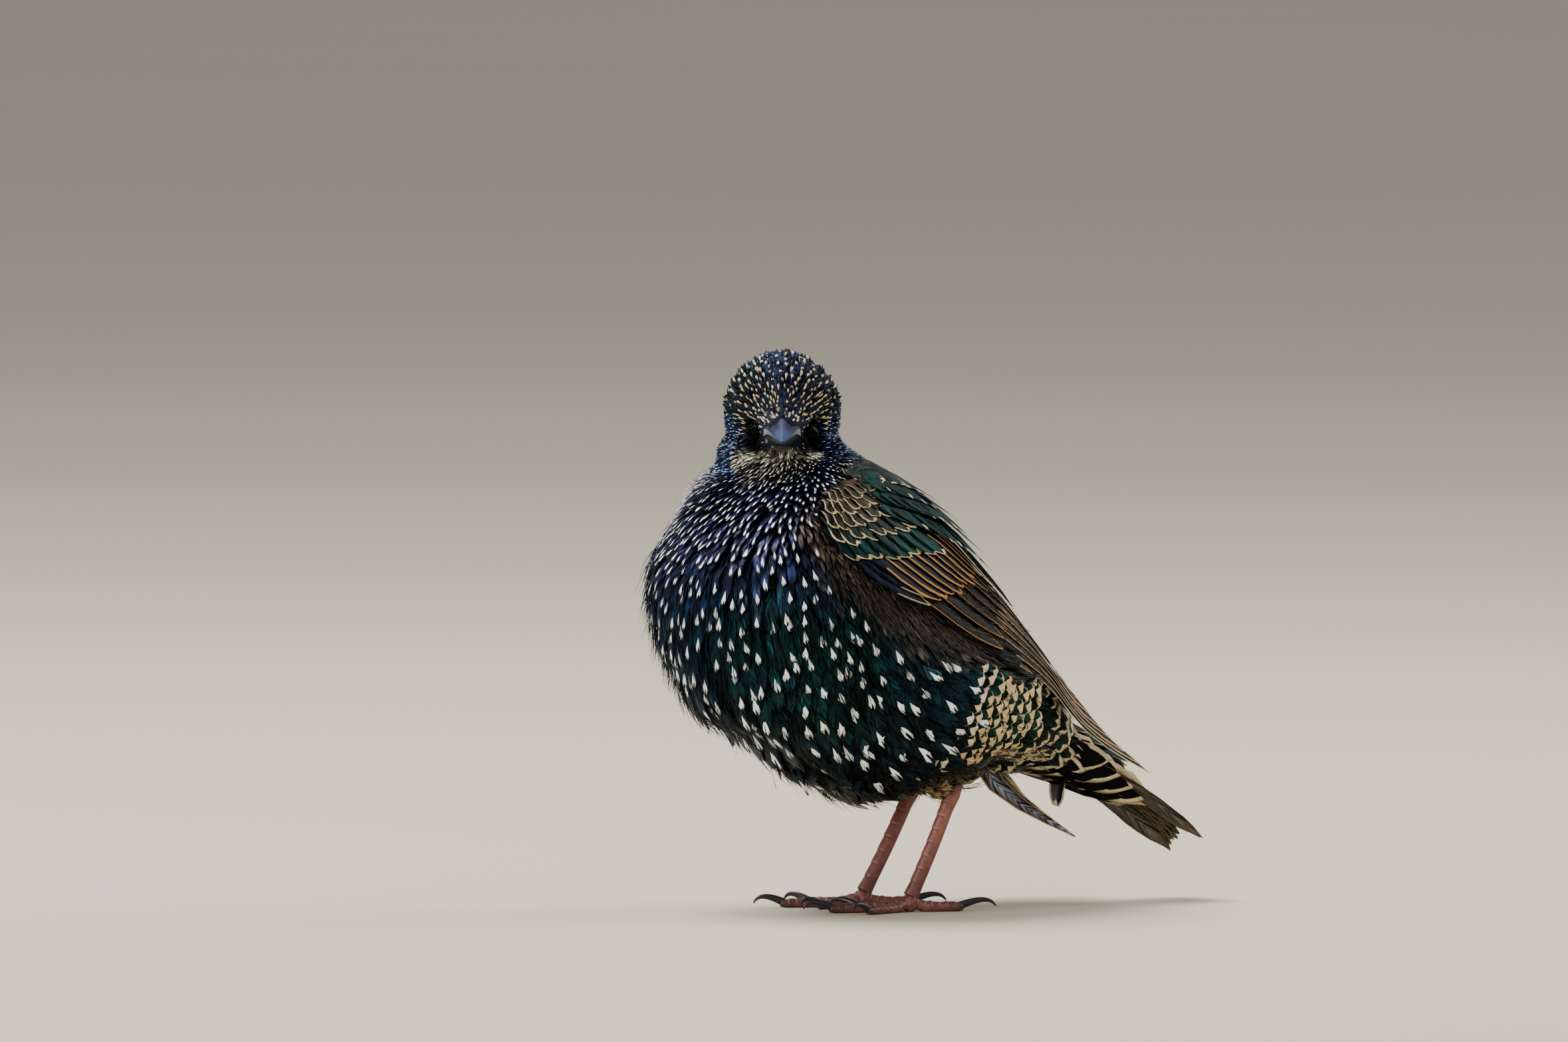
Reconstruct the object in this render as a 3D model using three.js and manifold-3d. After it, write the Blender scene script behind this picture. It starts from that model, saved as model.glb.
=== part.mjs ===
// A common starling in winter plumage, life size, fluffed up against the cold. It stands with its
// body turned to one side, its head turned to its left and its right wing drooping.
// Millimetres, +Z up. The bird faces -Y, and its left side is at +X.
import * as THREE from 'three';
import { mergeVertices } from 'three/addons/utils/BufferGeometryUtils.js';
import Module from 'manifold-3d';

const wasm = await Module();
wasm.setup();

// Clearances and feather thickness
const GAP = 0.3;
const VANE = 0.5;
const SMOOTH = 0.1;

// Trunk with its plumage, from the root of the tail to the top of the neck. Each station gives
// the outline of the back and of the belly as [forward, up], the half width, and how far down from
// the back it is widest, as a share.
const TRUNK = [
  { back: [-53.5, 42], belly: [-51.5, 35.5], half: 7.5, widest: 0.5 },
  { back: [-46, 56.5], belly: [-39, 34], half: 17, widest: 0.5 },
  { back: [-37.5, 67.5], belly: [-27, 34], half: 24.5, widest: 0.5 },
  { back: [-27.5, 80.5], belly: [-12, 31], half: 30.5, widest: 0.5 },
  { back: [-17, 93], belly: [4, 29.5], half: 34.5, widest: 0.5 },
  { back: [-7.5, 104.5], belly: [22, 31], half: 36.5, widest: 0.52 },
  { back: [1.5, 112.5], belly: [42, 41], half: 37.5, widest: 0.54 },
  { back: [8.5, 117.5], belly: [58.5, 59], half: 37.5, widest: 0.56 },
  { back: [13.5, 120.5], belly: [65, 81], half: 36, widest: 0.56 },
  { back: [16.5, 122], belly: [60, 97], half: 29, widest: 0.55 },
  { back: [18, 122.5], belly: [51, 110], half: 20.5, widest: 0.5 },
  { back: [20, 122], belly: [45, 115.5], half: 13, widest: 0.5 },
];
const TRUNK_RINGS = 24;
const TRUNK_SIDES = 28;
const NECK_FOOT = { forward: 39, up: 104, slope: 29 };
const NECK_TOP = { forward: 32, up: 117.5, lean: -16 };

// Head, turned to the bird's left. Stations run from the nape to the root of the bill, and their
// heights are from the middle of the head.
const HEAD = { forward: 32, left: 1, up: 130, turn: 62 };
const HEAD_STATIONS = [
  { ahead: -16.5, top: 4, chin: -7, half: 5 },
  { ahead: -14, top: 9.8, chin: -12, half: 10.8 },
  { ahead: -8.5, top: 13.9, chin: -15, half: 14.2 },
  { ahead: -2, top: 15.2, chin: -15.4, half: 14.8 },
  { ahead: 4, top: 12.8, chin: -13.8, half: 11.6 },
  { ahead: 8.5, top: 8, chin: -11.8, half: 8.3 },
  { ahead: 12, top: 2.4, chin: -10, half: 6 },
  { ahead: 14, top: -1.5, chin: -8.2, half: 4.2 },
];
const HEAD_RINGS = 12;
const HEAD_SIDES = 22;

// Eyes and lids, placed from the middle of the head
const EYE = { ahead: 8.1, out: 7, up: -5.4, radius: 3.4 };
const LID = { thick: 0.7, reach: 1.9, forward: 0.5 };

// Feathered throat and nape, two rounded forms below the head and turned with it
const COLLAR = [
  { ahead: -3, up: -15, long: 13.5, half: 16.2, high: 9 },
  { ahead: -8, up: -12, long: 11, half: 15, high: 11 },
];

// Bill: root, tip and half width. The gape is its parting line, which drops towards the tip.
const BILL = { root: 11, tip: 38, gape: -5, drop: 1.1, half: 4.7, over: 3.7, under: 3 };
const NOSTRIL = { ahead: 16.4, out: 2.75, up: 1.9, long: 1.5, high: 0.6, deep: 0.7 };

// Legs: where the left and the right one have their hip, ankle and ball of the foot
const LEG = {
  hip: { forward: [-2, -4], out: 13.5, up: 45 },
  ankle: { forward: [-10, -12], out: 12, up: 28.5 },
  ball: { forward: [0, 2], out: 11, up: 3.1 },
  thigh: 7.5,
  trouser: 2.9,
  shank: { deep: 1.75, wide: 1.35, knob: 2.3 },
  pad: 2.6,
};
const TOES = [
  { name: 'middle', turn: 4, length: 21.5, thick: 1.45, claw: 7 },
  { name: 'inner', turn: -30, length: 15.5, thick: 1.35, claw: 6.2 },
  { name: 'outer', turn: 37, length: 16.5, thick: 1.3, claw: 6 },
  { name: 'hind', turn: 176, length: 14, thick: 1.5, claw: 8.6 },
];
const FEET_TURN = -16;
const CLAW = { root: 1.05, tip: 0.22, arch: 2.1, sunk: 0.9 };

// Wing bed: where the folded wing lies on the trunk. Each station names a place along the trunk,
// the angles above the side between which the left wing lies, how many degrees lower the drooping
// right wing lies there, and how far the lower and the upper edge stand off.
const WING_BED = [
  { along: 0.795, low: 9, high: 44, droop: 6, lift: [0.6, -1.4] },
  { along: 0.64, low: 18, high: 66, droop: 10, lift: [0.8, -1.4] },
  { along: 0.46, low: 28, high: 76, droop: 17, lift: [0.6, -1.3] },
  { along: 0.32, low: 35, high: 80, droop: 24, lift: [0.3, 0] },
  { along: 0.19, low: 40, high: 80, droop: 34, lift: [0.8, 1.2] },
];
const WING_NECK = [
  { forward: -47, out: 18.5, up: 52, half: 7 },
  { forward: -46, out: 24, up: 34.5, half: 6 },
];
const WING_TIP = [{ forward: -68, out: 16, up: 35 }, { forward: -67, out: 22, up: 16 }];

// Tiers of a folded wing, from the primaries up to the scapulars. Each runs from its lowest feather
// to its highest one, with [along, across] of both roots and both tips as shares of the wing bed.
// Widths and heights above the bed are in mm.
const WING_TIERS = [
  {
    count: 4, width: [7, 9.5], height: [0, 1.6], lean: 0.1,
    root: [[0.4, 0.25], [0.36, 0.6]], tip: [[1, 0.5], [0.72, 0.62]],
  },
  {
    count: 3, width: [12, 13], height: [0.9, 1.4], lean: 0.2,
    root: [[0.2, 0.28], [0.2, 0.66]], tip: [[0.62, 0.3], [0.68, 0.7]],
  },
  {
    count: 2, width: [12, 12], height: [1.4, 1.8], lean: 0.2,
    root: [[0.2, 0.76], [0.18, 0.9]], tip: [[0.64, 0.8], [0.52, 0.92]],
  },
  {
    count: 2, width: [6.5, 9], height: [0.9, 1.8], lean: 0.16,
    root: [[0.03, 0.05], [0.06, 0.18]], tip: [[0.5, 0.05], [0.4, 0.22]],
  },
  {
    count: 4, width: [14, 14], height: [1.8, 1.8], lean: 0.2,
    root: [[0.16, 0.3], [0.12, 0.92]], tip: [[0.41, 0.32], [0.42, 0.9]],
  },
  {
    count: 4, width: [13, 13], height: [2.5, 2.3], lean: 0.2,
    root: [[0.07, 0.28], [0.05, 0.86]], tip: [[0.26, 0.3], [0.27, 0.86]],
  },
  {
    count: 2, width: [13, 14], height: [2.5, 1.9], lean: 0.12,
    root: [[0.04, 0.82], [0.22, 0.96]], tip: [[0.24, 0.84], [0.46, 0.92]],
  },
];
const WING_SEED = 7;

// Tail: place of its root, slope and roll, length and arch, half spread at its root and end, and
// the depth of its notch
const TAIL = {
  forward: -38, up: 44.5, slope: 28.5, roll: 15, length: 58, arch: 3, root: 4.5, end: 7.4, notch: 3,
};
const TAIL_FEATHERS = { count: 12, width: 8, step: 0.5 };
// Flesh and down round the root of the tail: where it starts and ends, its half width, and how
// thick it is at both ends, above and below
const TAIL_ROOT = { from: 0, to: 42, half: 8, over: [7.5, 0.4], under: [9.5, 1.5], curve: [0.8, 1.6] };
// Coverts above and below the tail: how many, where they start and end, their half spread and
// their width
const TAIL_COVERTS = [
  { count: 3, side: 1, root: 8, tip: 29, spread: 5, width: 11 },
  { count: 3, side: -1, root: 18, tip: 41, spread: 5, width: 10 },
  { count: 3, side: -1, root: 8, tip: 30, spread: 6.5, width: 12 },
];

const degrees = THREE.MathUtils.degToRad;
const mix = THREE.MathUtils.lerp;

// A place given by how far forward, to the bird's left and up it is
function at(forward, left, up) {
  return new THREE.Vector3(left, -forward, up);
}

// A closed solid from a geometry, with its faces turned outwards
function solid(geometry) {
  const bare = geometry.clone();
  bare.deleteAttribute('normal');
  bare.deleteAttribute('uv');
  const merged = mergeVertices(bare, 1e-4);
  const make = (triVerts) => new wasm.Manifold(new wasm.Mesh({
    numProp: 3,
    vertProperties: new Float32Array(merged.attributes.position.array),
    triVerts,
  }));
  const made = make(new Uint32Array(merged.index.array));
  return made.volume() > 0 ? made : make(new Uint32Array(merged.index.array).reverse());
}

// The largest closed surface of a solid, which fills sealed hollows and drops loose scraps
function largest(body) {
  return body.decompose().reduce((best, piece) => (piece.volume() > best.volume() ? piece : best));
}

// Closed skin over rings of points that all have the same count
function skin(rings) {
  const sides = rings[0].length;
  const middle = (ring) => ring.reduce((sum, p) => sum.add(p), new THREE.Vector3()).divideScalar(sides);
  const points = [...rings.flat(), middle(rings[0]), middle(rings.at(-1))];
  const faces = [];
  const first = rings.length * sides;
  const last = (rings.length - 1) * sides;
  for (let side = 0; side < sides; side += 1) {
    const next = (side + 1) % sides;
    for (let ring = 0; ring + 1 < rings.length; ring += 1) {
      const here = ring * sides;
      const there = here + sides;
      faces.push(here + side, here + next, there + next, here + side, there + next, there + side);
    }
    faces.push(first, next, side, first + 1, last + side, last + next);
  }
  return solidOf(points, faces);
}

// A closed solid from points and faces
function solidOf(points, faces) {
  const geometry = new THREE.BufferGeometry().setFromPoints(points);
  geometry.setIndex(faces);
  return solid(geometry);
}

// Thin closed sheet over a grid of places with normals, split alike on both faces
function sheet(rows, over, under) {
  const across = rows[0].length;
  const offset = (by) => rows.flatMap((row, i) => row.map((c, j) => (
    c.point.clone().addScaledVector(c.normal, by(i / (rows.length - 1), j / (across - 1))))));
  const points = [...offset(over), ...offset((u, v) => -under(u, v))];
  const bottom = rows.length * across;
  const faces = [];
  const wall = (a, b) => faces.push(a, a + bottom, b + bottom, a, b + bottom, b);
  for (let i = 0; i + 1 < rows.length; i += 1) {
    const here = i * across;
    const there = here + across;
    for (let j = 0; j + 1 < across; j += 1) {
      faces.push(here + j, here + j + 1, there + j + 1, here + j, there + j + 1, there + j);
      faces.push(bottom + here + j, bottom + there + j + 1, bottom + here + j + 1);
      faces.push(bottom + here + j, bottom + there + j, bottom + there + j + 1);
    }
    wall(there, here);
    wall(here + across - 1, there + across - 1);
  }
  for (let j = 0; j + 1 < across; j += 1) {
    wall(j, j + 1);
    wall(bottom - across + j + 1, bottom - across + j);
  }
  return solidOf(points, faces);
}

// The part of a solid on one side of a plane through a point, kept back by half a gap
function beyond(body, point, normal, back = GAP / 2) {
  const n = normal.clone().normalize();
  return body.trimByPlane([n.x, n.y, n.z], n.dot(point) + back);
}

// Trunk
const backLine = new THREE.SplineCurve(TRUNK.map((s) => new THREE.Vector2(...s.back)));
const bellyLine = new THREE.SplineCurve(TRUNK.map((s) => new THREE.Vector2(...s.belly)));
const girthLine = new THREE.SplineCurve(TRUNK.map((s) => new THREE.Vector2(s.half, s.widest)));

// A point of the trunk's surface, its angle measured upwards from the bird's left side
function trunkPoint(along, angle, lift = 0) {
  const back = backLine.getPoint(along);
  const belly = bellyLine.getPoint(along);
  const girth = girthLine.getPoint(along);
  const depth = back.distanceTo(belly);
  const rise = Math.sin(angle);
  const reach = rise > 0 ? depth * girth.y : depth * (1 - girth.y);
  const middle = back.clone().lerp(belly, girth.y);
  const up = back.clone().sub(belly).normalize().multiplyScalar((reach + lift) * rise);
  return at(middle.x + up.x, (girth.x + lift) * Math.cos(angle), middle.y + up.y);
}

// The whole trunk, or a copy of it that is bigger all round
function trunk(grow = 0) {
  const rings = [];
  for (let i = 0; i <= TRUNK_RINGS; i += 1) {
    const ring = [];
    for (let side = 0; side < TRUNK_SIDES; side += 1) {
      ring.push(trunkPoint(i / TRUNK_RINGS, (side / TRUNK_SIDES) * 2 * Math.PI, grow));
    }
    rings.push(ring);
  }
  return skin(rings);
}

// Head
const facing = new THREE.Matrix4()
  .makeRotationZ(degrees(HEAD.turn))
  .setPosition(at(HEAD.forward, HEAD.left, HEAD.up));
const onHead = (ahead, out, up) => at(ahead, out, up).applyMatrix4(facing);
const headTop = new THREE.SplineCurve(HEAD_STATIONS.map((s) => new THREE.Vector2(s.ahead, s.top)));
const headChin = new THREE.SplineCurve(HEAD_STATIONS.map((s) => new THREE.Vector2(s.half, s.chin)));

// The whole head, or a copy of it that is bigger all round
function head(grow = 0) {
  const rings = [];
  for (let i = 0; i <= HEAD_RINGS; i += 1) {
    const crown = headTop.getPoint(i / HEAD_RINGS);
    const chin = headChin.getPoint(i / HEAD_RINGS);
    const end = i === HEAD_RINGS ? grow : 0;
    const middle = mix(chin.y, crown.y, 0.46);
    rings.push(Array.from({ length: HEAD_SIDES }, (_, side) => {
      const angle = (side / HEAD_SIDES) * 2 * Math.PI;
      const rise = Math.sin(angle);
      const reach = (rise > 0 ? crown.y - middle : middle - chin.y) + grow;
      return onHead(crown.x + end, (chin.x + grow) * Math.cos(angle), middle + reach * rise);
    }));
  }
  return skin(rings);
}

// A ball round a centre
function ball(centre, radius, detail = 3) {
  const geometry = new THREE.IcosahedronGeometry(radius, detail);
  return solid(geometry.translate(centre.x, centre.y, centre.z));
}

const eyeCentre = (side) => onHead(EYE.ahead, side * EYE.out, EYE.up);

// Eyelids: a thin cup round the eye that leaves its front open
function lids(side) {
  const look = at(LID.forward, side, 0).normalize().transformDirection(facing);
  const cup = ball(eyeCentre(side), EYE.radius + GAP + LID.thick, 2);
  return beyond(cup, eyeCentre(side).addScaledVector(look, LID.reach), look.negate(), 0);
}

// Throat and nape, below the head and turned with it
function collar(grow = 0) {
  const bulges = COLLAR.map((c) => {
    const bulge = new THREE.IcosahedronGeometry(1, 3).scale(c.half + grow, c.long + grow, c.high + grow);
    return solid(bulge.translate(0, -c.ahead, c.up).applyMatrix4(facing));
  });
  return wasm.Manifold.union(bulges);
}

// One half of the bill: the upper one rises to the culmen, and the lower one falls to the keel
function mandible(upper, grow = 0) {
  const steps = 9;
  const rings = [];
  for (let i = 0; i <= steps; i += 1) {
    const u = i / steps;
    const ahead = mix(BILL.root, BILL.tip - (upper ? 0 : 1), u);
    const taper = (1 - u) ** 0.85 * 0.93 + 0.07;
    const half = BILL.half * taper + grow;
    const line = BILL.gape - BILL.drop * u * u;
    const deep = (upper ? BILL.over : -BILL.under) * ((1 - u ** 1.6) * 0.9 + 0.1);
    const lip = (upper ? 1 : -1) * (GAP / 2 - grow);
    const profile = [[-1, 0], [-0.82, 0.42], [-0.45, 0.84], [0, 1], [0.45, 0.84], [0.82, 0.42], [1, 0]];
    const reach = deep + Math.sign(deep) * grow;
    rings.push(profile.map(([x, y]) => onHead(ahead, x * half, line + lip + y * reach)));
  }
  return skin(rings);
}

// The pit of one nostril
function nostril(side) {
  const pit = new THREE.IcosahedronGeometry(1, 1).scale(NOSTRIL.deep, NOSTRIL.long, NOSTRIL.high);
  pit.translate(side * NOSTRIL.out, -NOSTRIL.ahead, BILL.gape + NOSTRIL.up);
  return solid(pit.applyMatrix4(facing));
}

// Flesh, made whole and then parted with thin cuts
const wholeTrunk = trunk();
const grownTrunk = trunk(GAP + 0.1);
const grownHead = head(GAP + 0.05).add(collar(GAP + 0.1));
const neckFoot = at(NECK_FOOT.forward, 0, NECK_FOOT.up);
const neckUp = at(Math.sin(degrees(NECK_FOOT.slope)), 0, Math.cos(degrees(NECK_FOOT.slope)));
const topPoint = at(NECK_TOP.forward, 0, NECK_TOP.up);
const topUp = at(-Math.sin(degrees(NECK_TOP.lean)), 0, Math.cos(degrees(NECK_TOP.lean)));
const flesh = wholeTrunk.add(head()).add(collar()).add(lids(1)).add(lids(-1))
  .subtract(ball(eyeCentre(1), EYE.radius + GAP + 0.1, 2))
  .subtract(ball(eyeCentre(-1), EYE.radius + GAP + 0.1, 2))
  .simplify(SMOOTH);
const torso = largest(beyond(flesh, neckFoot, neckUp.clone().negate()));
const neck = largest(beyond(beyond(flesh, neckFoot, neckUp), topPoint, topUp.clone().negate()));
const skull = largest(beyond(flesh, topPoint, topUp));
const nostrils = nostril(1).add(nostril(-1));
const upperBill = largest(mandible(true).subtract(grownHead).subtract(nostrils));
const lowerBill = largest(mandible(false).subtract(grownHead));

// Tapered limb along a path: each stop gives a place, half its depth and half its width
function limb(stops, sides = 10) {
  return skin(stops.map((stop, i) => {
    const before = stops[Math.max(i - 1, 0)].place;
    const after = stops[Math.min(i + 1, stops.length - 1)].place;
    const way = after.clone().sub(before).normalize();
    const level = stop.level ?? new THREE.Vector3(0, 0, 1);
    const wide = new THREE.Vector3().crossVectors(level, way).normalize();
    const deep = new THREE.Vector3().crossVectors(way, wide);
    return Array.from({ length: sides }, (_, side) => {
      const angle = (side / sides) * 2 * Math.PI;
      return stop.place.clone()
        .addScaledVector(wide, stop.wide * Math.cos(angle))
        .addScaledVector(deep, stop.deep * Math.sin(angle));
    });
  }));
}

const meshes = [];

// A named mesh of its own material from a finished solid
function piece(name, body, material) {
  const { vertProperties, triVerts, numProp } = body.getMesh();
  const geometry = new THREE.BufferGeometry();
  const places = new Float32Array((vertProperties.length / numProp) * 3);
  for (let i = 0; i < places.length / 3; i += 1) {
    places.set(vertProperties.subarray(i * numProp, i * numProp + 3), i * 3);
  }
  geometry.setAttribute('position', new THREE.BufferAttribute(places, 3));
  geometry.setIndex(new THREE.BufferAttribute(new Uint32Array(triVerts), 1));
  geometry.computeVertexNormals();
  const mesh = new THREE.Mesh(geometry, material.clone());
  mesh.name = name;
  meshes.push(mesh);
}

const finish = (color, roughness) => new THREE.MeshStandardMaterial({ color, roughness, metalness: 0 });
const plumage = finish(0x10201f, 0.45);
const flight = finish(0x3a2c1c, 0.6);
const bare = finish(0x7a3b30, 0.55);
const horn = finish(0x24262c, 0.35);
const glossy = finish(0x0b0806, 0.08);

piece('torso', torso, plumage);
piece('neck', neck, plumage);
piece('head', skull, plumage);
piece('bill_upper', upperBill, horn);
piece('bill_lower', lowerBill, horn);
piece('eye_left', ball(eyeCentre(1), EYE.radius, 2), glossy);
piece('eye_right', ball(eyeCentre(-1), EYE.radius, 2), glossy);

// Leg, foot, toes and claws of one side
function leg(side, label) {
  const spot = (s) => at(s.forward[side > 0 ? 0 : 1], side * s.out, s.up);
  const hip = spot(LEG.hip);
  const ankle = spot(LEG.ankle);
  const bottom = spot(LEG.ball);
  const forward = at(1, 0, 0);
  const thighWay = ankle.clone().sub(hip).normalize();
  const end = ankle.clone().addScaledVector(thighWay, 2);
  const thigh = limb([0, 0.35, 0.7, 0.9, 1].map((u, i) => {
    const girth = mix(LEG.thigh, LEG.trouser, Math.min(1, u * 1.15));
    const place = hip.clone().lerp(end, u);
    return { place, deep: i === 4 ? girth * 0.85 : girth, wide: girth * 0.9, level: forward };
  }), 12);
  const shank = limb([0, 0.08, 0.2, 0.5, 0.8, 0.93, 1].map((u) => {
    const knob = Math.max(0, 1 - u * 7) + Math.max(0, (u - 0.84) * 5) * 0.5;
    return {
      place: ankle.clone().lerp(bottom, u),
      deep: mix(LEG.shank.deep, LEG.shank.knob, knob),
      wide: mix(LEG.shank.wide, LEG.shank.knob * 0.85, knob),
      level: forward,
    };
  }), 10);
  const shankWay = bottom.clone().sub(ankle).normalize();
  const bend = shankWay.clone().add(thighWay).normalize();
  const covered = thigh.subtract(grownTrunk);
  piece(`thigh_${label}`, largest(beyond(covered, ankle, bend.clone().negate())), plumage);
  const foot = bottom.clone().addScaledVector(shankWay, -1.6);
  const sawn = beyond(shank, ankle, bend);
  piece(`shank_${label}`, largest(beyond(sawn, foot, shankWay.clone().negate())), bare);
  const pad = solid(new THREE.IcosahedronGeometry(1, 1).scale(LEG.pad, LEG.pad, LEG.pad * 0.95)
    .translate(bottom.x, bottom.y, LEG.pad * 0.8));
  const ground = at(0, 0, 0);
  const upward = at(0, 0, 1);
  const padWhole = largest(beyond(beyond(pad.add(shank), foot, shankWay), ground, upward, 0));
  const hub = (grow) => {
    const round = new THREE.IcosahedronGeometry(1, 1).scale(LEG.pad + grow, LEG.pad + grow, LEG.pad * 1.6);
    return solid(round.translate(bottom.x, bottom.y, LEG.ball.up));
  };
  piece(`foot_${label}`, largest(padWhole.intersect(hub(0))), bare);
  let taken = hub(GAP);
  for (const toe of TOES) {
    const turn = degrees(side * toe.turn + FEET_TURN);
    const way = at(Math.cos(turn), Math.sin(turn), 0);
    const run = (grow) => limb([0, 0.2, 0.38, 0.55, 0.72, 0.9, 1].map((u, i) => {
      const swell = [1, 0.94, 1.12, 0.9, 1.08, 0.98, 0.72][i];
      const thick = toe.thick * mix(1.08, 0.84, u) * swell + grow;
      const place = bottom.clone().addScaledVector(way, toe.length * u);
      place.z = mix(LEG.ball.up * 0.85, toe.thick * 0.72, Math.min(1, u * 3.2));
      return { place, deep: thick, wide: thick };
    }), 8);
    const tip = bottom.clone().addScaledVector(way, toe.length);
    tip.z = toe.thick * 0.72;
    const clawRoot = tip.clone().addScaledVector(way, -CLAW.sunk);
    const claw = limb([0, 0.25, 0.5, 0.75, 1].map((u) => {
      const reach = (toe.claw + CLAW.sunk) * (Math.sin(u * 1.35) / Math.sin(1.35)) - CLAW.sunk;
      const place = tip.clone().addScaledVector(way, reach);
      place.z += 0.35 + CLAW.arch * Math.sin(u * 2.6) * 0.9 - u * u * 1.1;
      const thick = mix(CLAW.root, CLAW.tip, u ** 1.1);
      return { place, deep: thick, wide: thick * 0.72 };
    }), 6);
    const trimmed = largest(beyond(run(0).subtract(taken), ground, upward, 0));
    piece(`toe_${toe.name}_${label}`, largest(beyond(trimmed, clawRoot, way.clone().negate())), bare);
    const bareClaw = beyond(claw, clawRoot, way);
    piece(`claw_${toe.name}_${label}`, largest(beyond(bareClaw, ground, upward, 0)), horn);
    taken = taken.add(run(GAP));
  }
}
leg(1, 'left');
leg(-1, 'right');

// Wing bed of one side, as lines along the folded wing at its lower edge, middle and upper edge.
// It gives the place and the outward normal, 0 to 1 along the wing and 0 to 1 up across it.
function wingBed(side) {
  const which = side > 0 ? 0 : 1;
  const neck = WING_NECK[which];
  const tip = WING_TIP[which];
  const line = (share) => new THREE.CatmullRomCurve3([
    ...WING_BED.map((b) => {
      const angle = degrees(mix(b.low, b.high, share) - which * b.droop);
      return trunkPoint(b.along, angle, mix(...b.lift, share));
    }),
    at(neck.forward + share * 1.5, neck.out + (0.5 - share) * 6, neck.up + (share * 2 - 1) * neck.half),
    at(tip.forward, tip.out, tip.up + (share - 0.5) * 1.2),
  ]);
  const lines = [line(0), line(0.5), line(1)];
  const place = (along, across) => {
    const [low, middle, high] = lines.map((l) => l.getPoint(Math.min(Math.max(along, 0), 1)));
    const v = across;
    const p = low.multiplyScalar(2 * (v - 0.5) * (v - 1))
      .addScaledVector(middle, 4 * v * (1 - v))
      .addScaledVector(high, 2 * v * (v - 0.5));
    return p.setX(p.x * side);
  };
  const normal = (along, across) => {
    const step = 0.01;
    const a = Math.min(Math.max(along, step), 1 - step);
    const lengthwise = place(a + step, across).sub(place(a - step, across));
    const crosswise = place(a, across + step).sub(place(a, across - step));
    return new THREE.Vector3().crossVectors(lengthwise, crosswise).multiplyScalar(side).normalize();
  };
  return { place, normal };
}

// Same random numbers every time
function seeded(seed) {
  let state = seed;
  return () => {
    state = (state * 16807) % 2147483647;
    return state / 2147483647;
  };
}

// One feather over a surface. The path gives its place, the surface's normal and the way across it
// at 0 to 1 along the feather, and its lower edge lies over the neighbour's upper edge.
const LONG_OUTLINE = [0.6, 0.95, 1, 0.2];
const SHORT_OUTLINE = [0.7, 1, 0.3];
function feather(path, width, lean, outline) {
  const rows = outline.map((share, i) => {
    const { point, normal, cross } = path(i / (outline.length - 1));
    const half = (width / 2) * share;
    return [-1, 1].map((side) => ({
      point: point.clone()
        .addScaledVector(cross, side * half)
        .addScaledVector(normal, -side * lean * half),
      normal,
    }));
  });
  const thick = (u) => (VANE / 2) * (u > 0.9 ? 0.6 : 1);
  return sheet(rows, thick, thick);
}

// A feather of the wing, with its root sunk into the wing's core
function wingFeather(bed, root, tip, width, height, lean) {
  const outline = tip[0] - root[0] > 0.3 ? LONG_OUTLINE : SHORT_OUTLINE;
  return feather((u) => {
    const along = mix(root[0], tip[0], u);
    const across = mix(root[1], tip[1], u);
    const normal = bed.normal(Math.min(along, 0.96), across);
    const cross = bed.place(along, across + 0.02).sub(bed.place(along, across - 0.02)).normalize();
    const sunk = 1.6 * Math.max(0, 1 - u * 3);
    return { point: bed.place(along, across).addScaledVector(normal, height - sunk), normal, cross };
  }, width, lean, outline);
}

// Muscle, bone and the small coverts of the wing, under its tiers of feathers
const WING_CORE = { reach: 0.6, over: [3, 0.2], under: [4, 0.6] };
function wingCore(bed) {
  const rows = Array.from({ length: 7 }, (_, i) => Array.from({ length: 5 }, (__, j) => {
    const across = mix(0.04, 0.94, j / 4);
    const along = mix(0.06 * (2 * across - 1) ** 2, WING_CORE.reach, i / 6);
    return { point: bed.place(along, across), normal: bed.normal(along, across) };
  }));
  const over = (u, v) => {
    const rim = 0.45 + 0.55 * Math.sin(Math.PI * v);
    return mix(...WING_CORE.over, Math.min(1, u * 1.25)) * rim * Math.min(1, 0.6 + u * 4);
  };
  const under = (u) => mix(...WING_CORE.under, Math.min(1, u * 1.3));
  return sheet(rows, over, under);
}

// A folded wing with all its tiers, fused into one solid
function wing(side) {
  const bed = wingBed(side);
  const random = seeded(WING_SEED);
  const feathers = WING_TIERS.flatMap((tier) => Array.from({ length: tier.count }, (_, i) => {
    const share = i / (tier.count - 1);
    const between = (ends) => ends[0].map((v, k) => mix(v, ends[1][k], share));
    const [tipAlong, tipAcross] = between(tier.tip);
    const tip = [Math.min(1, tipAlong + (random() - 0.5) * 0.02), tipAcross];
    const height = mix(...tier.height, share);
    return wingFeather(bed, between(tier.root), tip, mix(...tier.width, share), height, tier.lean);
  }));
  return wasm.Manifold.union([wingCore(bed), ...feathers]);
}

for (const [side, label] of [[1, 'left'], [-1, 'right']]) {
  piece(`wing_${label}`, largest(wing(side).subtract(grownTrunk).simplify(SMOOTH)), flight);
}

// Tail frame: along the tail from its root, across to the bird's left, and up from its upper face
const tailFrame = new THREE.Matrix4().makeTranslation(0, -TAIL.forward, TAIL.up)
  .multiply(new THREE.Matrix4().makeRotationX(degrees(-TAIL.slope)))
  .multiply(new THREE.Matrix4().makeRotationY(degrees(-TAIL.roll)));
function onTail(along, left, up) {
  const arch = TAIL.arch * Math.sin(Math.PI * THREE.MathUtils.clamp(along / TAIL.length, 0, 1));
  return new THREE.Vector3(left, along, up + arch).applyMatrix4(tailFrame);
}
const tailUp = new THREE.Vector3(0, 0, 1).transformDirection(tailFrame);
const tailCross = new THREE.Vector3(1, 0, 0).transformDirection(tailFrame);

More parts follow.
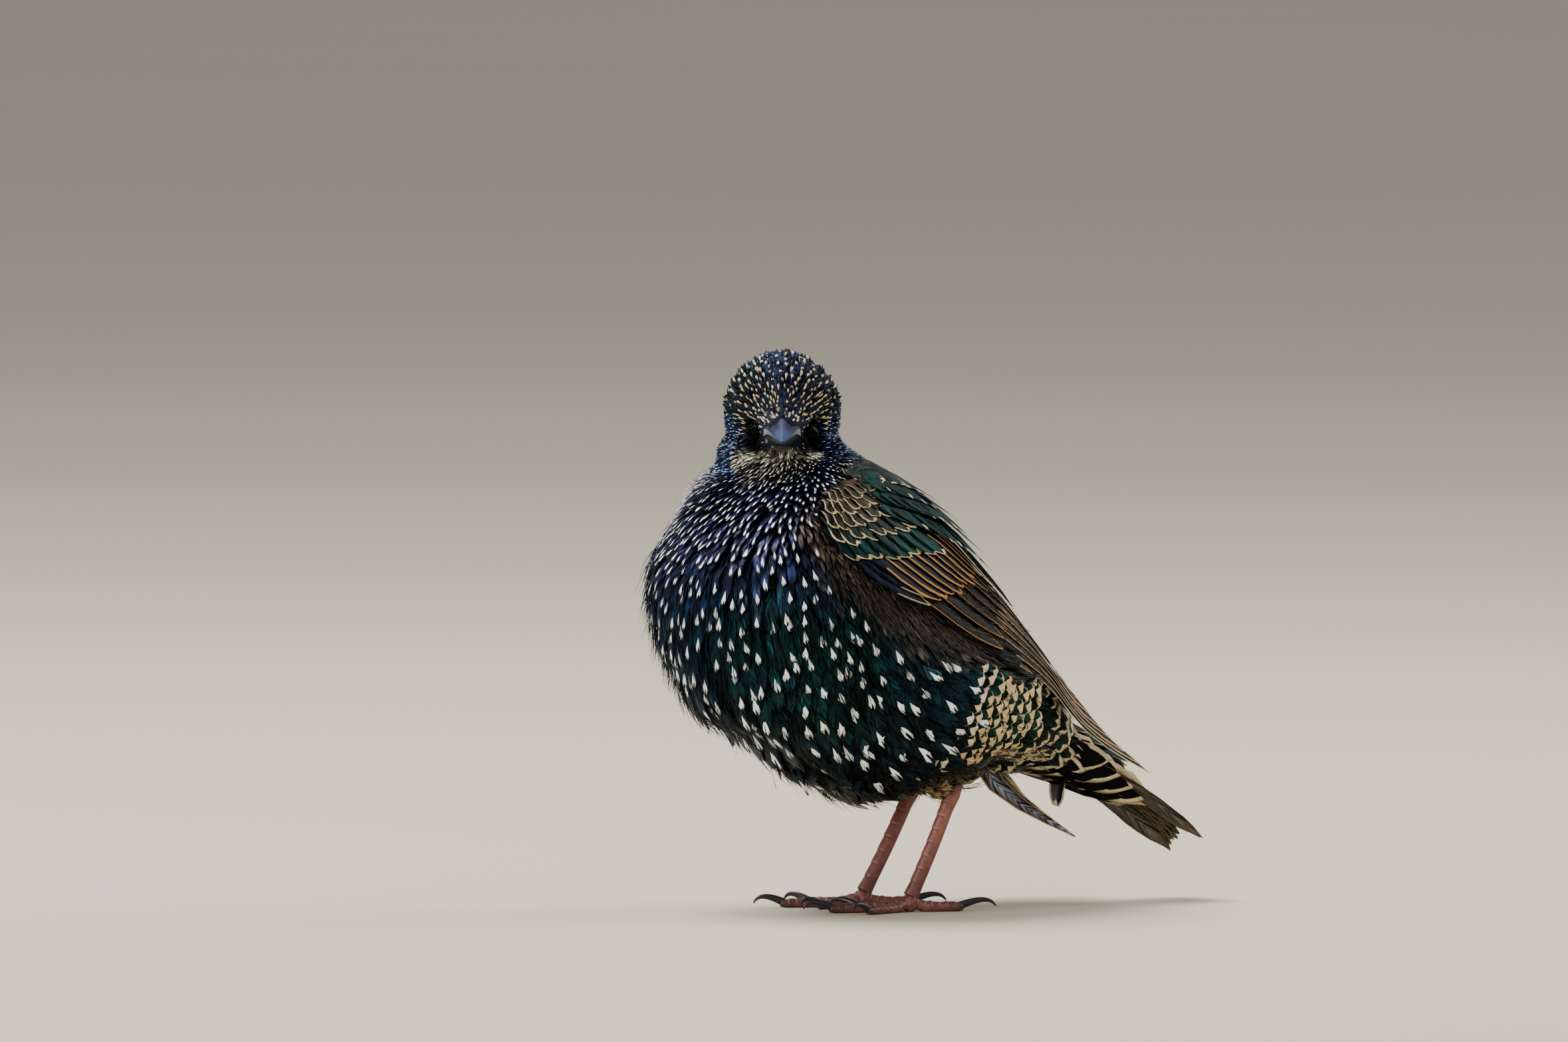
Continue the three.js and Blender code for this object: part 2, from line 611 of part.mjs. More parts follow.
// A feather of the tail or a covert of it, from one place in the tail frame to another
function tailFeather(from, to, width, lean, outline) {
  return feather((u) => {
    const spot = from.map((v, k) => mix(v, to[k], u));
    return { point: onTail(...spot), normal: tailUp, cross: tailCross };
  }, width, lean, outline);
}

// How thick the root of the tail is above it, or below it, at a place along and across it
function tailRootDepth(side, along, across) {
  const share = THREE.MathUtils.clamp((along - TAIL_ROOT.from) / (TAIL_ROOT.to - TAIL_ROOT.from), 0, 1);
  const round = Math.sqrt(Math.max(0, 1.1 - (across / (TAIL_ROOT.half * 1.15)) ** 2));
  const [ends, curve] = side > 0
    ? [TAIL_ROOT.over, TAIL_ROOT.curve[0]]
    : [TAIL_ROOT.under, TAIL_ROOT.curve[1]];
  return mix(...ends, share ** curve) * round;
}

// The root of the tail as one solid
function tailRoot() {
  const rows = Array.from({ length: 7 }, (_, i) => Array.from({ length: 6 }, (__, j) => {
    const along = mix(TAIL_ROOT.from, TAIL_ROOT.to, i / 6);
    return { point: onTail(along, mix(-TAIL_ROOT.half, TAIL_ROOT.half, j / 5), -0.8), normal: tailUp };
  }));
  const depth = (side) => (u, v) => (
    tailRootDepth(side, mix(TAIL_ROOT.from, TAIL_ROOT.to, u), mix(-TAIL_ROOT.half, TAIL_ROOT.half, v)));
  return sheet(rows, depth(1), depth(-1));
}

// The tail with its coverts, fused into one solid
function tail() {
  const random = seeded(WING_SEED);
  const { count, width, step } = TAIL_FEATHERS;
  const feathers = Array.from({ length: count }, (_, i) => {
    const side = (i - (count - 1) / 2) / ((count - 1) / 2);
    const low = -step * Math.abs(side) * (count / 2);
    const reach = TAIL.length - TAIL.notch * (1 - Math.abs(side)) - random();
    const root = [8, side * TAIL.root, low * 0.4];
    return tailFeather(root, [reach, side * TAIL.end, low], width, -0.08 * side, LONG_OUTLINE);
  });
  const coverts = TAIL_COVERTS.flatMap((tier) => Array.from({ length: tier.count }, (_, i) => {
    const aside = (i / (tier.count - 1)) * 2 - 1;
    const tip = tier.tip - 4 * aside * aside + random() * 2;
    const height = (along, out) => tier.side * tailRootDepth(tier.side, along, out) - 0.8;
    const root = [tier.root, aside * 3.5, height(tier.root, aside * 3.5) - tier.side];
    const out = aside * tier.spread;
    const end = [tip, out, height(tip, out) + tier.side * 0.7];
    return tailFeather(root, end, tier.width, -0.12 * aside * tier.side, SHORT_OUTLINE);
  }));
  return wasm.Manifold.union([tailRoot(), ...feathers, ...coverts]);
}
piece('tail', largest(tail().subtract(grownTrunk).simplify(SMOOTH)), flight);

const bird = new THREE.Group();
bird.add(...meshes);

// The middle of the bird's box is over the origin, and its soles are on the ground
const bounds = new THREE.Box3().setFromObject(bird);
const centre = bounds.getCenter(new THREE.Vector3());
bird.position.set(-centre.x, -centre.y, -bounds.min.z);

export default bird;
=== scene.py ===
# A common starling in winter plumage, life size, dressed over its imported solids.
import math

import bpy
import numpy as np
from mathutils import Matrix, Vector
from mathutils.bvhtree import BVHTree
from mathutils.kdtree import KDTree


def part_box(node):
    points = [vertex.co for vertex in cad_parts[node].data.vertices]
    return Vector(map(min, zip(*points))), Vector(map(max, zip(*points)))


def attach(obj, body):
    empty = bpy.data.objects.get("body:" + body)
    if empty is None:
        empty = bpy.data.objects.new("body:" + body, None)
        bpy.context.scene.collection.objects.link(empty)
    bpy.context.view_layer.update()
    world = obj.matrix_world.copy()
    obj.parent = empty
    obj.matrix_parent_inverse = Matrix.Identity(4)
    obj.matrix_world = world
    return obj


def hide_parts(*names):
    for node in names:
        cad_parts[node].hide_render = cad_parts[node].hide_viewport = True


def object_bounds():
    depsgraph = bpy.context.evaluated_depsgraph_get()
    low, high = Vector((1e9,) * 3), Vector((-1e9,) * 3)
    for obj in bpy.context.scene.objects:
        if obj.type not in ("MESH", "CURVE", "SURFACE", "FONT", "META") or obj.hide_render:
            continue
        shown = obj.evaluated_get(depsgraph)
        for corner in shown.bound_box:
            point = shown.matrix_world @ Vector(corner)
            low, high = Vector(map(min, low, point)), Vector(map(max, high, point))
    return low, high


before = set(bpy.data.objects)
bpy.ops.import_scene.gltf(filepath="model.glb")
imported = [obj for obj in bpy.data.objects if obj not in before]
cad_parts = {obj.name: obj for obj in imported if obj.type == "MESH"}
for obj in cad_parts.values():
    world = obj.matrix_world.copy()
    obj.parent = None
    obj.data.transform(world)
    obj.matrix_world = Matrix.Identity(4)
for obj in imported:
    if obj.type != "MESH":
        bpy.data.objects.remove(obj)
cad_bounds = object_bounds()

# Camera. A long lens looks nearly level at the bird's left front, with its head turned to the lens.
# The bird stands low and left of the middle of the frame, and the frame is 406.7 mm wide there.
HEAD_PLACE = np.array([1.0, -32.0, 130.0])
HEAD_TURN = math.radians(62)
EYE = {"ahead": 8.1, "out": 7.0, "up": -5.4, "radius": 3.4}


def head_axes():
    ahead = np.array([math.sin(HEAD_TURN), -math.cos(HEAD_TURN), 0.0])
    out = np.array([math.cos(HEAD_TURN), math.sin(HEAD_TURN), 0.0])
    return ahead, out, np.array([0.0, 0.0, 1.0])


def unshifted_on_head(ahead, out, up):
    a, o, u = head_axes()
    return HEAD_PLACE + ahead * a + out * o + up * u


low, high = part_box("eye_left")
SHIFT = np.array((low + high) / 2) * 1000 - unshifted_on_head(EYE["ahead"], EYE["out"], EYE["up"])
VIEW = {"azimuth": 62.0, "elevation": 3.0, "distance": 6.0, "width": 0.4067, "sensor": 36.0}
AIM = {"right": -0.0273, "up": 0.1007}
az, el = math.radians(VIEW["azimuth"]), math.radians(VIEW["elevation"])
view_right = Vector((math.cos(az), math.sin(az), 0.0))
view_back = Vector((math.sin(az) * math.cos(el), -math.cos(az) * math.cos(el), math.sin(el)))
view_up = view_back.cross(view_right)
mid_feet = Vector((SHIFT[0], SHIFT[1], 0.0)) * 0.001
lens = bpy.data.cameras.new("camera")
lens.sensor_width = VIEW["sensor"]
lens.lens = VIEW["sensor"] * VIEW["distance"] / VIEW["width"]
lens.clip_end = 50.0
camera = bpy.data.objects.new("camera", lens)
bpy.context.scene.collection.objects.link(camera)
turn = Matrix((view_right, view_up, view_back)).transposed().to_4x4()
aim = mid_feet + view_right * AIM["right"] + view_up * AIM["up"]
camera.matrix_world = Matrix.Translation(aim + view_back * VIEW["distance"]) @ turn
bpy.context.scene.camera = camera

# Lie of the trunk. The same stations as the solids give the bird's back, belly and girth from the
# root of the tail to the neck, so feathers can be laid along it by place and angle.
STATIONS = np.array([
    (-53.5, 42, -51.5, 35.5, 7.5, 0.5),
    (-46, 56.5, -39, 34, 17, 0.5),
    (-37.5, 67.5, -27, 34, 24.5, 0.5),
    (-27.5, 80.5, -12, 31, 30.5, 0.5),
    (-17, 93, 4, 29.5, 34.5, 0.5),
    (-7.5, 104.5, 22, 31, 36.5, 0.52),
    (1.5, 112.5, 42, 41, 37.5, 0.54),
    (8.5, 117.5, 58.5, 59, 37.5, 0.56),
    (13.5, 120.5, 65, 81, 36, 0.56),
    (16.5, 122, 60, 97, 29, 0.55),
    (18, 122.5, 51, 110, 20.5, 0.5),
    (20, 122, 45, 115.5, 13, 0.5),
])


def spline(points, share):
    """A uniform spline through points, at shares from 0 to 1."""
    last = len(points) - 1
    p = np.clip(share, 0, 1) * last
    i = np.minimum(p.astype(int), last - 1)
    t = (p - i)[..., None]
    p0, p1 = points[np.maximum(i - 1, 0)], points[i]
    p2, p3 = points[np.minimum(i + 1, last)], points[np.minimum(i + 2, last)]
    v0, v1 = (p2 - p0) / 2, (p3 - p1) / 2
    return (2 * p1 - 2 * p2 + v0 + v1) * t**3 + (3 * p2 - 3 * p1 - 2 * v0 - v1) * t**2 + v0 * t + p1


def on_trunk(along, angle, lift=0.0):
    """Places of the trunk's surface in mm, with the angle measured upwards from the bird's left."""
    s = spline(STATIONS, np.asarray(along, float))
    back, belly, half, widest = s[..., 0:2], s[..., 2:4], s[..., 4], s[..., 5]
    depth = np.linalg.norm(back - belly, axis=-1)
    rise = np.sin(angle)
    reach = np.where(rise > 0, depth * widest, depth * (1 - widest))
    middle = back + (belly - back) * widest[..., None]
    upward = (back - belly) / depth[..., None] * ((reach + lift) * rise)[..., None]
    left = (half + lift) * np.cos(angle)
    return np.stack([left, -(middle + upward)[..., 0], (middle + upward)[..., 1]], -1) + SHIFT


def unit(v):
    return v / np.maximum(np.linalg.norm(v, axis=-1, keepdims=True), 1e-9)


def smooth(x, low, high):
    """0 at low, 1 at high and smooth between them."""
    t = np.clip((x - low) / (high - low), 0, 1)
    return t * t * (3 - 2 * t)


def mesh_object(name, points, triangles, material=None):
    """A mesh object from places in mm and triangles, shaded smooth."""
    mesh = bpy.data.meshes.new(name)
    mesh.vertices.add(len(points))
    mesh.vertices.foreach_set("co", (np.asarray(points) * 0.001).astype(np.float32).ravel())
    mesh.loops.add(triangles.size)
    mesh.loops.foreach_set("vertex_index", triangles.astype(np.int32).ravel())
    mesh.polygons.add(len(triangles))
    mesh.polygons.foreach_set("loop_start", np.arange(0, triangles.size, 3, dtype=np.int32))
    mesh.update(calc_edges=True)
    mesh.shade_smooth()
    obj = bpy.data.objects.new(name, mesh)
    bpy.context.scene.collection.objects.link(obj)
    if material:
        mesh.materials.append(material)
    return obj


def add_map(obj, name, values, triangles):
    """A UV map from a pair of values for each point."""
    layer = obj.data.uv_layers.new(name=name)
    layer.data.foreach_set("uv", values[triangles.ravel()].astype(np.float32).ravel())


def add_colours(obj, name, values):
    """A colour attribute from four values for each point."""
    layer = obj.data.attributes.new(name, "FLOAT_COLOR", "POINT")
    layer.data.foreach_set("color", values.astype(np.float32).ravel())


# Skin. One closed skin over trunk, neck, head and thighs, made from the solids' own flesh and sunk
# below their surface by the depth of the coat, which is thin on the face and deep on the belly.
FLESH = ("torso", "neck", "head", "thigh_left", "thigh_right")
SKIN_VOXEL = 0.0011
GROWN = 0.00035


def head_local(points):
    """Ahead, out and up from the middle of the head, in mm, for places in mm."""
    a, o, u = head_axes()
    p = points - SHIFT - HEAD_PLACE
    return p @ a, p @ o, p @ u


def flesh_mesh():
    parts = bpy.data.meshes.new("flesh")
    points, faces, start = [], [], 0
    for name in FLESH:
        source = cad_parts[name].data
        co = np.empty(len(source.vertices) * 3)
        source.vertices.foreach_get("co", co)
        normals = np.array([v.normal for v in source.vertices])
        points.append(co.reshape(-1, 3) + normals * GROWN)
        faces += [[start + i for i in p.vertices] for p in source.polygons]
        start += len(source.vertices)
    parts.from_pydata(np.concatenate(points).tolist(), [], faces)
    obj = bpy.data.objects.new("flesh", parts)
    bpy.context.scene.collection.objects.link(obj)
    weld = obj.modifiers.new("weld", "WELD")
    weld.merge_threshold = 1e-6
    remesh = obj.modifiers.new("remesh", "REMESH")
    remesh.mode = "VOXEL"
    remesh.voxel_size = SKIN_VOXEL
    soften = obj.modifiers.new("soften", "SMOOTH")
    soften.factor = 0.5
    soften.iterations = 10
    made = bpy.data.meshes.new_from_object(obj.evaluated_get(bpy.context.evaluated_depsgraph_get()))
    bpy.data.objects.remove(obj)
    return made


def coat_depth(points):
    """How deep the coat is over the flesh, in mm."""
    ahead, out, up = head_local(points)
    from_head = np.sqrt(ahead**2 + out**2 + (up * 0.9) ** 2)
    body = np.interp(points[:, 2], [25, 32, 60, 95, 110, 120], [1.2, 3.6, 5.2, 4.4, 3.2, 2.2])
    head = np.interp(ahead, [-14, 2, 8, 12], [2.0, 1.5, 0.9, 0.35])
    at_head = smooth(from_head, 21, 15)
    depth = body * (1 - at_head) + head * at_head
    return np.where(points[:, 2] < 34, np.minimum(depth, 1.6), depth)


def hollow(points):
    """How much slimmer than the flesh the bird is, low on its breast and behind its thighs, in mm."""
    forward = SHIFT[1] - points[:, 1]
    front = smooth(forward, 8, 20) * smooth(points[:, 2], 54, 42) * smooth(points[:, 0] - SHIFT[0], 24, 8)
    behind = smooth(forward, -15, -24) * smooth(points[:, 2], 45, 37) * smooth(forward, -50, -40)
    return 4.0 * front + 3.0 * behind


remeshed = flesh_mesh()
co = np.empty(len(remeshed.vertices) * 3)
remeshed.vertices.foreach_get("co", co)
skin_points = co.reshape(-1, 3) * 1000
skin_normals = np.array([v.normal for v in remeshed.vertices])
sunk = coat_depth(skin_points) + hollow(skin_points) + GROWN * 1000
skin_points = skin_points - skin_normals * sunk[:, None]
remeshed.calc_loop_triangles()
skin_faces = np.array([t.vertices for t in remeshed.loop_triangles])


# Lie of the coat. Feathers run from the bill back over the head, down the breast and along the
# trunk to the tail, and down the thighs. The lie is worked out once for each face of the skin.
def nearest_on_trunk():
    """The share along the trunk and the angle round it that lie nearest to each face."""
    along, angle = np.meshgrid(np.linspace(0.005, 0.995, 90), np.linspace(0, 2 * np.pi, 120, endpoint=False))
    along, angle = along.ravel(), angle.ravel()
    places = on_trunk(along, angle, -5.0)
    tree = KDTree(len(places))
    for i, p in enumerate(places):
        tree.insert(p, i)
    tree.balance()
    near = np.array([tree.find(c)[1] for c in centres])
    return along[near], angle[near]


corners = skin_points[skin_faces]
centres = corners.mean(1)
cut = np.cross(corners[:, 1] - corners[:, 0], corners[:, 2] - corners[:, 0])
areas = np.linalg.norm(cut, axis=1) / 2
vertex_normals = np.zeros_like(skin_points)
for k in range(3):
    np.add.at(vertex_normals, skin_faces[:, k], cut)
vertex_normals = unit(vertex_normals)
face_normals = unit(vertex_normals[skin_faces].sum(1))
face_along, face_angle = nearest_on_trunk()
BILL_ROOT = {"ahead": 13.5, "up": -5.0}
HIPS = {"left": (-2, 13.5, 45, -10, 12, 28.5), "right": (-4, -13.5, 45, -12, -12, 28.5)}


def lie():
    """The way the feathers run over each face, and how much of it is head."""
    step = 0.01
    trunk_way = unit(on_trunk(face_along - step, face_angle) - on_trunk(face_along + step, face_angle))
    hang = 1.5 * smooth(face_along, 0.30, 0.62) * smooth(np.sin(face_angle), 0.65, 0.1)
    trunk_way = trunk_way + np.array([0.0, 0.0, -1.0]) * hang[:, None]
    ahead, out, up = head_local(centres)
    a, o, u = head_axes()
    head_way = (ahead - BILL_ROOT["ahead"])[:, None] * a + (out * 0.8)[:, None] * o
    head_way = head_way + (up - BILL_ROOT["up"])[:, None] * u
    reach = np.sqrt(ahead**2 + out**2 + (up + 3) ** 2)
    headness = smooth(reach, 24, 15) * smooth(centres[:, 2], 108, 114)
    way = unit(trunk_way) * (1 - headness)[:, None] + unit(head_way) * headness[:, None]
    for f1, l1, z1, f2, l2, z2 in HIPS.values():
        hip, ankle = np.array([l1, -f1, z1]) + SHIFT, np.array([l2, -f2, z2]) + SHIFT
        shank = unit(ankle - hip)
        rest = centres - hip
        off = np.linalg.norm(rest - (rest @ shank)[:, None] * shank, axis=1)
        legness = smooth(off, 9, 6) * smooth(centres[:, 2], 34, 31)
        way = way * (1 - legness)[:, None] + shank * legness[:, None]
    return unit(way - (way * face_normals).sum(1)[:, None] * face_normals), headness


TAIL_WAY = np.array([0.0, math.cos(math.radians(28.5)), -math.sin(math.radians(28.5))])
face_way, face_headness = lie()
skin_tree = BVHTree.FromPolygons(skin_points.tolist(), skin_faces.tolist())


def walk(roots, lengths, rows):
    """Lines over the skin from each root along the lie: places and normals, rows of them."""
    places, normals = np.empty((len(roots), rows, 3)), np.empty((len(roots), rows, 3))
    for n, (root, length) in enumerate(zip(roots, lengths)):
        spot, _, face, _ = skin_tree.find_nearest(root)
        way, normal, free = face_way[face], face_normals[face], False
        for row in range(rows):
            if not free:
                way, normal = face_way[face], face_normals[face]
            places[n, row], normals[n, row] = spot, normal
            spot = places[n, row] + way * (length / (rows - 1))
            if not free:
                near, _, next_face, _ = skin_tree.find_nearest(spot)
                free = face_along[next_face] < 0.05 and face_normals[next_face] @ TAIL_WAY > 0.45
                spot, face = (spot, face) if free else (near, next_face)
    return places, normals


# Vanes. Every feather is a thin closed vane that is arched across, with loose barbs at its rim.
# Its maps hold millimetres from the shaft, the root, the nearest edge and the tip.
box_low = np.array(cad_bounds[0]) * 1000 - [2.1, 3.6, 0.0]
box_high = np.array(cad_bounds[1]) * 1000 + [2.1, 3.6, 3.0]


def vanes(places, normals, half, columns, arch, thick, ragged, rng, edge_side=0):
    """Points, triangles and maps of feathers, from lines over the body and half widths."""
    count, rows = half.shape
    way = unit(np.gradient(places, axis=1))
    cross = unit(np.cross(normals, way))
    upward = unit(np.cross(way, cross))
    across = np.linspace(-1, 1, columns)
    run = np.concatenate([np.zeros((count, 1)), np.cumsum(
        np.linalg.norm(np.diff(places, axis=1), axis=-1), 1)], 1)
    length = run[:, -1:]
    share = run / length
    offset = half[:, :, None] * across
    barbs = ragged[:, None, None] * rng.uniform(-1, 1, (count, rows, columns)) * np.abs(across) ** 2
    offset = offset * (1 + barbs * 0.35 * smooth(share, 0.2, 0.6)[:, :, None])
    sweep = np.abs(offset) * 0.55 * smooth(share, 0.1, 0.6)[:, :, None]
    jag = ragged[:, None] * length * 0.10 * rng.uniform(-1, 1, (count, columns))
    sweep = sweep * (1 - share[:, :, None] ** 3)
    forward = sweep + jag[:, None, :] * share[:, :, None] ** 4
    fall = arch[:, None, None] * offset**2
    top = (places[:, :, None] + cross[:, :, None] * offset[..., None]
           + way[:, :, None] * forward[..., None] - upward[:, :, None] * fall[..., None])
    top = np.clip(top, box_low, box_high)
    centre = top[:, :, columns // 2]
    below = centre - upward * (thick[:, None] * (1 - 0.7 * share**2))[..., None]
    points = np.concatenate([top.reshape(count, -1, 3), below], 1)
    edge = half[:, :, None] * (1 - np.abs(across) if edge_side == 0 else (1 - edge_side * across))
    tip = (length - run)[:, :, None] + np.abs(offset) * 0.35
    flat = np.stack([offset, np.broadcast_to(run[:, :, None], offset.shape) + forward * 0.5], -1)
    rim = np.stack([edge + 0 * offset, tip + 0 * offset], -1)
    middle = columns // 2
    flat = np.concatenate([flat.reshape(count, -1, 2), flat[:, :, middle]], 1)
    rim = np.concatenate([rim.reshape(count, -1, 2), rim[:, :, middle]], 1)
    i, j = np.meshgrid(np.arange(rows - 1), np.arange(columns - 1), indexing="ij")
    a = (i * columns + j).ravel()
    quads = [np.stack([a, a + columns, a + columns + 1, a + 1], 1)]
    k = np.arange(rows - 1)
    left, right, under = k * columns, k * columns + columns - 1, rows * columns + k
    quads.append(np.stack([left, under, under + 1, left + columns], 1))
    quads.append(np.stack([under, right, right + columns, under + 1], 1))
    quads = np.concatenate(quads)
    tris = np.concatenate([quads[:, [0, 1, 2]], quads[:, [0, 2, 3]]])
    j = np.arange(columns - 1)
    last = (rows - 1) * columns
    root_end = np.stack([j, j + 1, np.full_like(j, rows * columns)], 1)
    tip_end = np.stack([last + j + 1, last + j, np.full_like(j, rows * columns + rows - 1)], 1)
    tris = np.concatenate([tris, root_end, tip_end])
    step = rows * columns + rows
    triangles = (tris[None] + np.arange(count)[:, None, None] * step).reshape(-1, 3)
    return points, triangles, flat, rim


def feather_object(name, made, looks, patches, patch, material):
    """One object of many feathers, with their maps and what each looks like."""
    points, triangles, flat, rim = made
    count, per = points.shape[:2]
    obj = mesh_object(name, points.reshape(-1, 3), triangles, material)
    add_map(obj, "Vane", flat.reshape(-1, 2), triangles)
    add_map(obj, "Rim", rim.reshape(-1, 2), triangles)
    span = np.maximum(np.abs(flat).max(1, keepdims=True), 1e-6)
    place = flat / span * [0.5, 1] + [0.5, 0]
    add_map(obj, "OFBake", (patches[:, None] + place * patch).reshape(-1, 2), triangles)
    for key, values in looks.items():
        add_colours(obj, key, np.repeat(values, per, axis=0))
    return obj


# Plumage finish. Dark glossy ground with oily blue, green and purple, streaked along its barbs with
# painted sheen, its brightness rising and falling in streaks. A pale heart ends each spotted feather,
# and others have a pale rim.
def add_node(tree, kind, inputs=(), **settings):
    made = tree.nodes.new(kind)
    for key, value in settings.items():
        setattr(made, key, value)
    for key, value in dict(inputs).items():
        if isinstance(value, bpy.types.NodeSocket):
            tree.links.new(value, made.inputs[key])
        else:
            made.inputs[key].default_value = value
    return made


def sums(tree, operation, a, b=0.0, c=0.0):
    return add_node(tree, "ShaderNodeMath", {0: a, 1: b, 2: c}, operation=operation).outputs[0]


def ramp(tree, value, low, high):
    """0 where the value is low, 1 where it is high."""
    made = add_node(tree, "ShaderNodeMapRange", {"Value": value, "From Min": low, "From Max": high})
    made.interpolation_type = "SMOOTHSTEP"
    return made.outputs[0]


def blend(tree, share, a, b, kind="MIX"):
    made = add_node(tree, "ShaderNodeMix", {0: share, 6: a, 7: b}, data_type="RGBA", blend_type=kind)
    return made.outputs[2]


def marks_group():
    tree = bpy.data.node_groups.new("feather_marks_and_painted_sheen", "ShaderNodeTree")
    for name, kind in (("Colour", "Color"), ("Pale", "Float"), ("Gloss", "Float"), ("Barbs", "Float")):
        tree.interface.new_socket(name=name, in_out="OUTPUT", socket_type="NodeSocket" + kind)
    vane = add_node(tree, "ShaderNodeUVMap", uv_map="Vane").outputs[0]
    rim = add_node(tree, "ShaderNodeUVMap", uv_map="Rim").outputs[0]
    vane = add_node(tree, "ShaderNodeSeparateXYZ", {0: vane})
    rim = add_node(tree, "ShaderNodeSeparateXYZ", {0: rim})
    ground = add_node(tree, "ShaderNodeAttribute", attribute_name="Ground")
    spot = add_node(tree, "ShaderNodeAttribute", attribute_name="Spot")
    pale = add_node(tree, "ShaderNodeAttribute", attribute_name="Pale")
    spot_size = add_node(tree, "ShaderNodeSeparateColor", {0: spot.outputs["Color"]})
    aside = sums(tree, "ABSOLUTE", vane.outputs[0])
    barb_line = sums(tree, "MULTIPLY_ADD", vane.outputs[1], -0.45, aside)
    streak_place = add_node(tree, "ShaderNodeCombineXYZ", {
        0: sums(tree, "MULTIPLY", barb_line, 1.3),
        1: sums(tree, "MULTIPLY", vane.outputs[1], 0.08),
        2: sums(tree, "MULTIPLY", ground.outputs["Alpha"], 90.0),
    }).outputs[0]
    streaks = add_node(tree, "ShaderNodeTexNoise", {"Vector": streak_place, "Scale": 1.0, "Detail": 3.0})
    streak = streaks.outputs[0]
    wander = sums(tree, "MULTIPLY_ADD", streak, 1.1, -0.55)
    length = sums(tree, "MAXIMUM", sums(tree, "MULTIPLY", spot_size.outputs[0], 10.0), 0.01)
    width = sums(tree, "MAXIMUM", sums(tree, "MULTIPLY", spot_size.outputs[1], 10.0), 0.01)
    a = sums(tree, "DIVIDE", aside, width)
    b = sums(tree, "DIVIDE", sums(tree, "MULTIPLY_ADD", wander, 0.35, rim.outputs[1]), length)
    top = sums(tree, "MULTIPLY_ADD", a, -0.8, 1.0)
    heart = ramp(tree, sums(tree, "SUBTRACT", top, b), -0.02, 0.10)
    heart = sums(tree, "MULTIPLY", heart, ramp(tree, a, 1.15, 0.85))
    notch = sums(tree, "MULTIPLY_ADD", a, 0.6, b)
    heart = sums(tree, "MULTIPLY", heart, ramp(tree, notch, 0.20, 0.32))
    real = sums(tree, "GREATER_THAN", spot_size.outputs[0], 0.002)
    heart = sums(tree, "MULTIPLY", heart, real)
    rim_width = sums(tree, "MULTIPLY", spot_size.outputs[2], 10.0)
    past = sums(tree, "SUBTRACT", rim.outputs[1], sums(tree, "MULTIPLY", spot.outputs["Alpha"], 10.0))
    edge = sums(tree, "MULTIPLY_ADD", sums(tree, "MAXIMUM", past, 0.0), 0.3, rim.outputs[0])
    near = sums(tree, "MINIMUM", edge, rim.outputs[1])
    near = sums(tree, "MULTIPLY_ADD", wander, 0.25, near)
    inside = sums(tree, "SUBTRACT", rim_width, near)
    rimmed = sums(tree, "MULTIPLY", ramp(tree, inside, -0.08, 0.12),
                  sums(tree, "GREATER_THAN", rim_width, 0.02))
    white = sums(tree, "MAXIMUM", heart, rimmed)
    shaft = ramp(tree, aside, 0.16, 0.05)
    # Painted sheen: the ground colour is made brighter and darker in streaks along the barbs.
    shade = sums(tree, "MULTIPLY_ADD", ramp(tree, streak, 0.36, 0.66), 2.1, 0.12)
    dark = blend(tree, 1.0, ground.outputs["Color"], add_node(
        tree, "ShaderNodeCombineColor", {0: shade, 1: shade, 2: shade}).outputs[0], "MULTIPLY")
    dark = blend(tree, sums(tree, "MULTIPLY", shaft, 0.35), dark, (0.012, 0.010, 0.010, 1.0))
    bright = sums(tree, "MULTIPLY_ADD", streak, 0.7, 0.62)
    light = blend(tree, 1.0, pale.outputs["Color"], add_node(
        tree, "ShaderNodeCombineColor", {0: bright, 1: bright, 2: bright}).outputs[0], "MULTIPLY")
    colour = blend(tree, white, dark, light)
    gloss = sums(tree, "MULTIPLY", pale.outputs["Alpha"], sums(tree, "SUBTRACT", 1.0, white))
    out = add_node(tree, "NodeGroupOutput")
    for key, socket in (("Colour", colour), ("Pale", white), ("Gloss", gloss), ("Barbs", streak)):
        tree.links.new(socket, out.inputs[key])
    return tree


FEATHER_MARKS = marks_group()


def new_material(name):
    made = bpy.data.materials.new(name)
    made.use_nodes = True
    tree = made.node_tree
    return made, tree, tree.nodes["Principled BSDF"]


def feather_material(name, roughness, depth, specular):
    made, tree, shader = new_material(name)
    marks = add_node(tree, "ShaderNodeGroup", node_tree=FEATHER_MARKS)
    tree.links.new(marks.outputs["Colour"], shader.inputs["Base Color"])
    tree.links.new(marks.outputs["Gloss"], shader.inputs["Metallic"])
    rough = sums(tree, "MULTIPLY_ADD", marks.outputs["Pale"], 0.3, roughness)
    tree.links.new(sums(tree, "MULTIPLY_ADD", marks.outputs["Barbs"], 0.14, rough), shader.inputs["Roughness"])
    shader.inputs["Specular IOR Level"].default_value = specular
    bump = add_node(tree, "ShaderNodeBump", {"Height": marks.outputs["Barbs"], "Strength": 0.5, "Distance": depth})
    tree.links.new(bump.outputs[0], shader.inputs["Normal"])
    return made


def paint(*rgb):
    """A colour from its red, green and blue out of 255."""
    return np.array([((c / 255 + 0.055) / 1.055) ** 2.4 if c > 10 else c / 3294 for c in rgb])


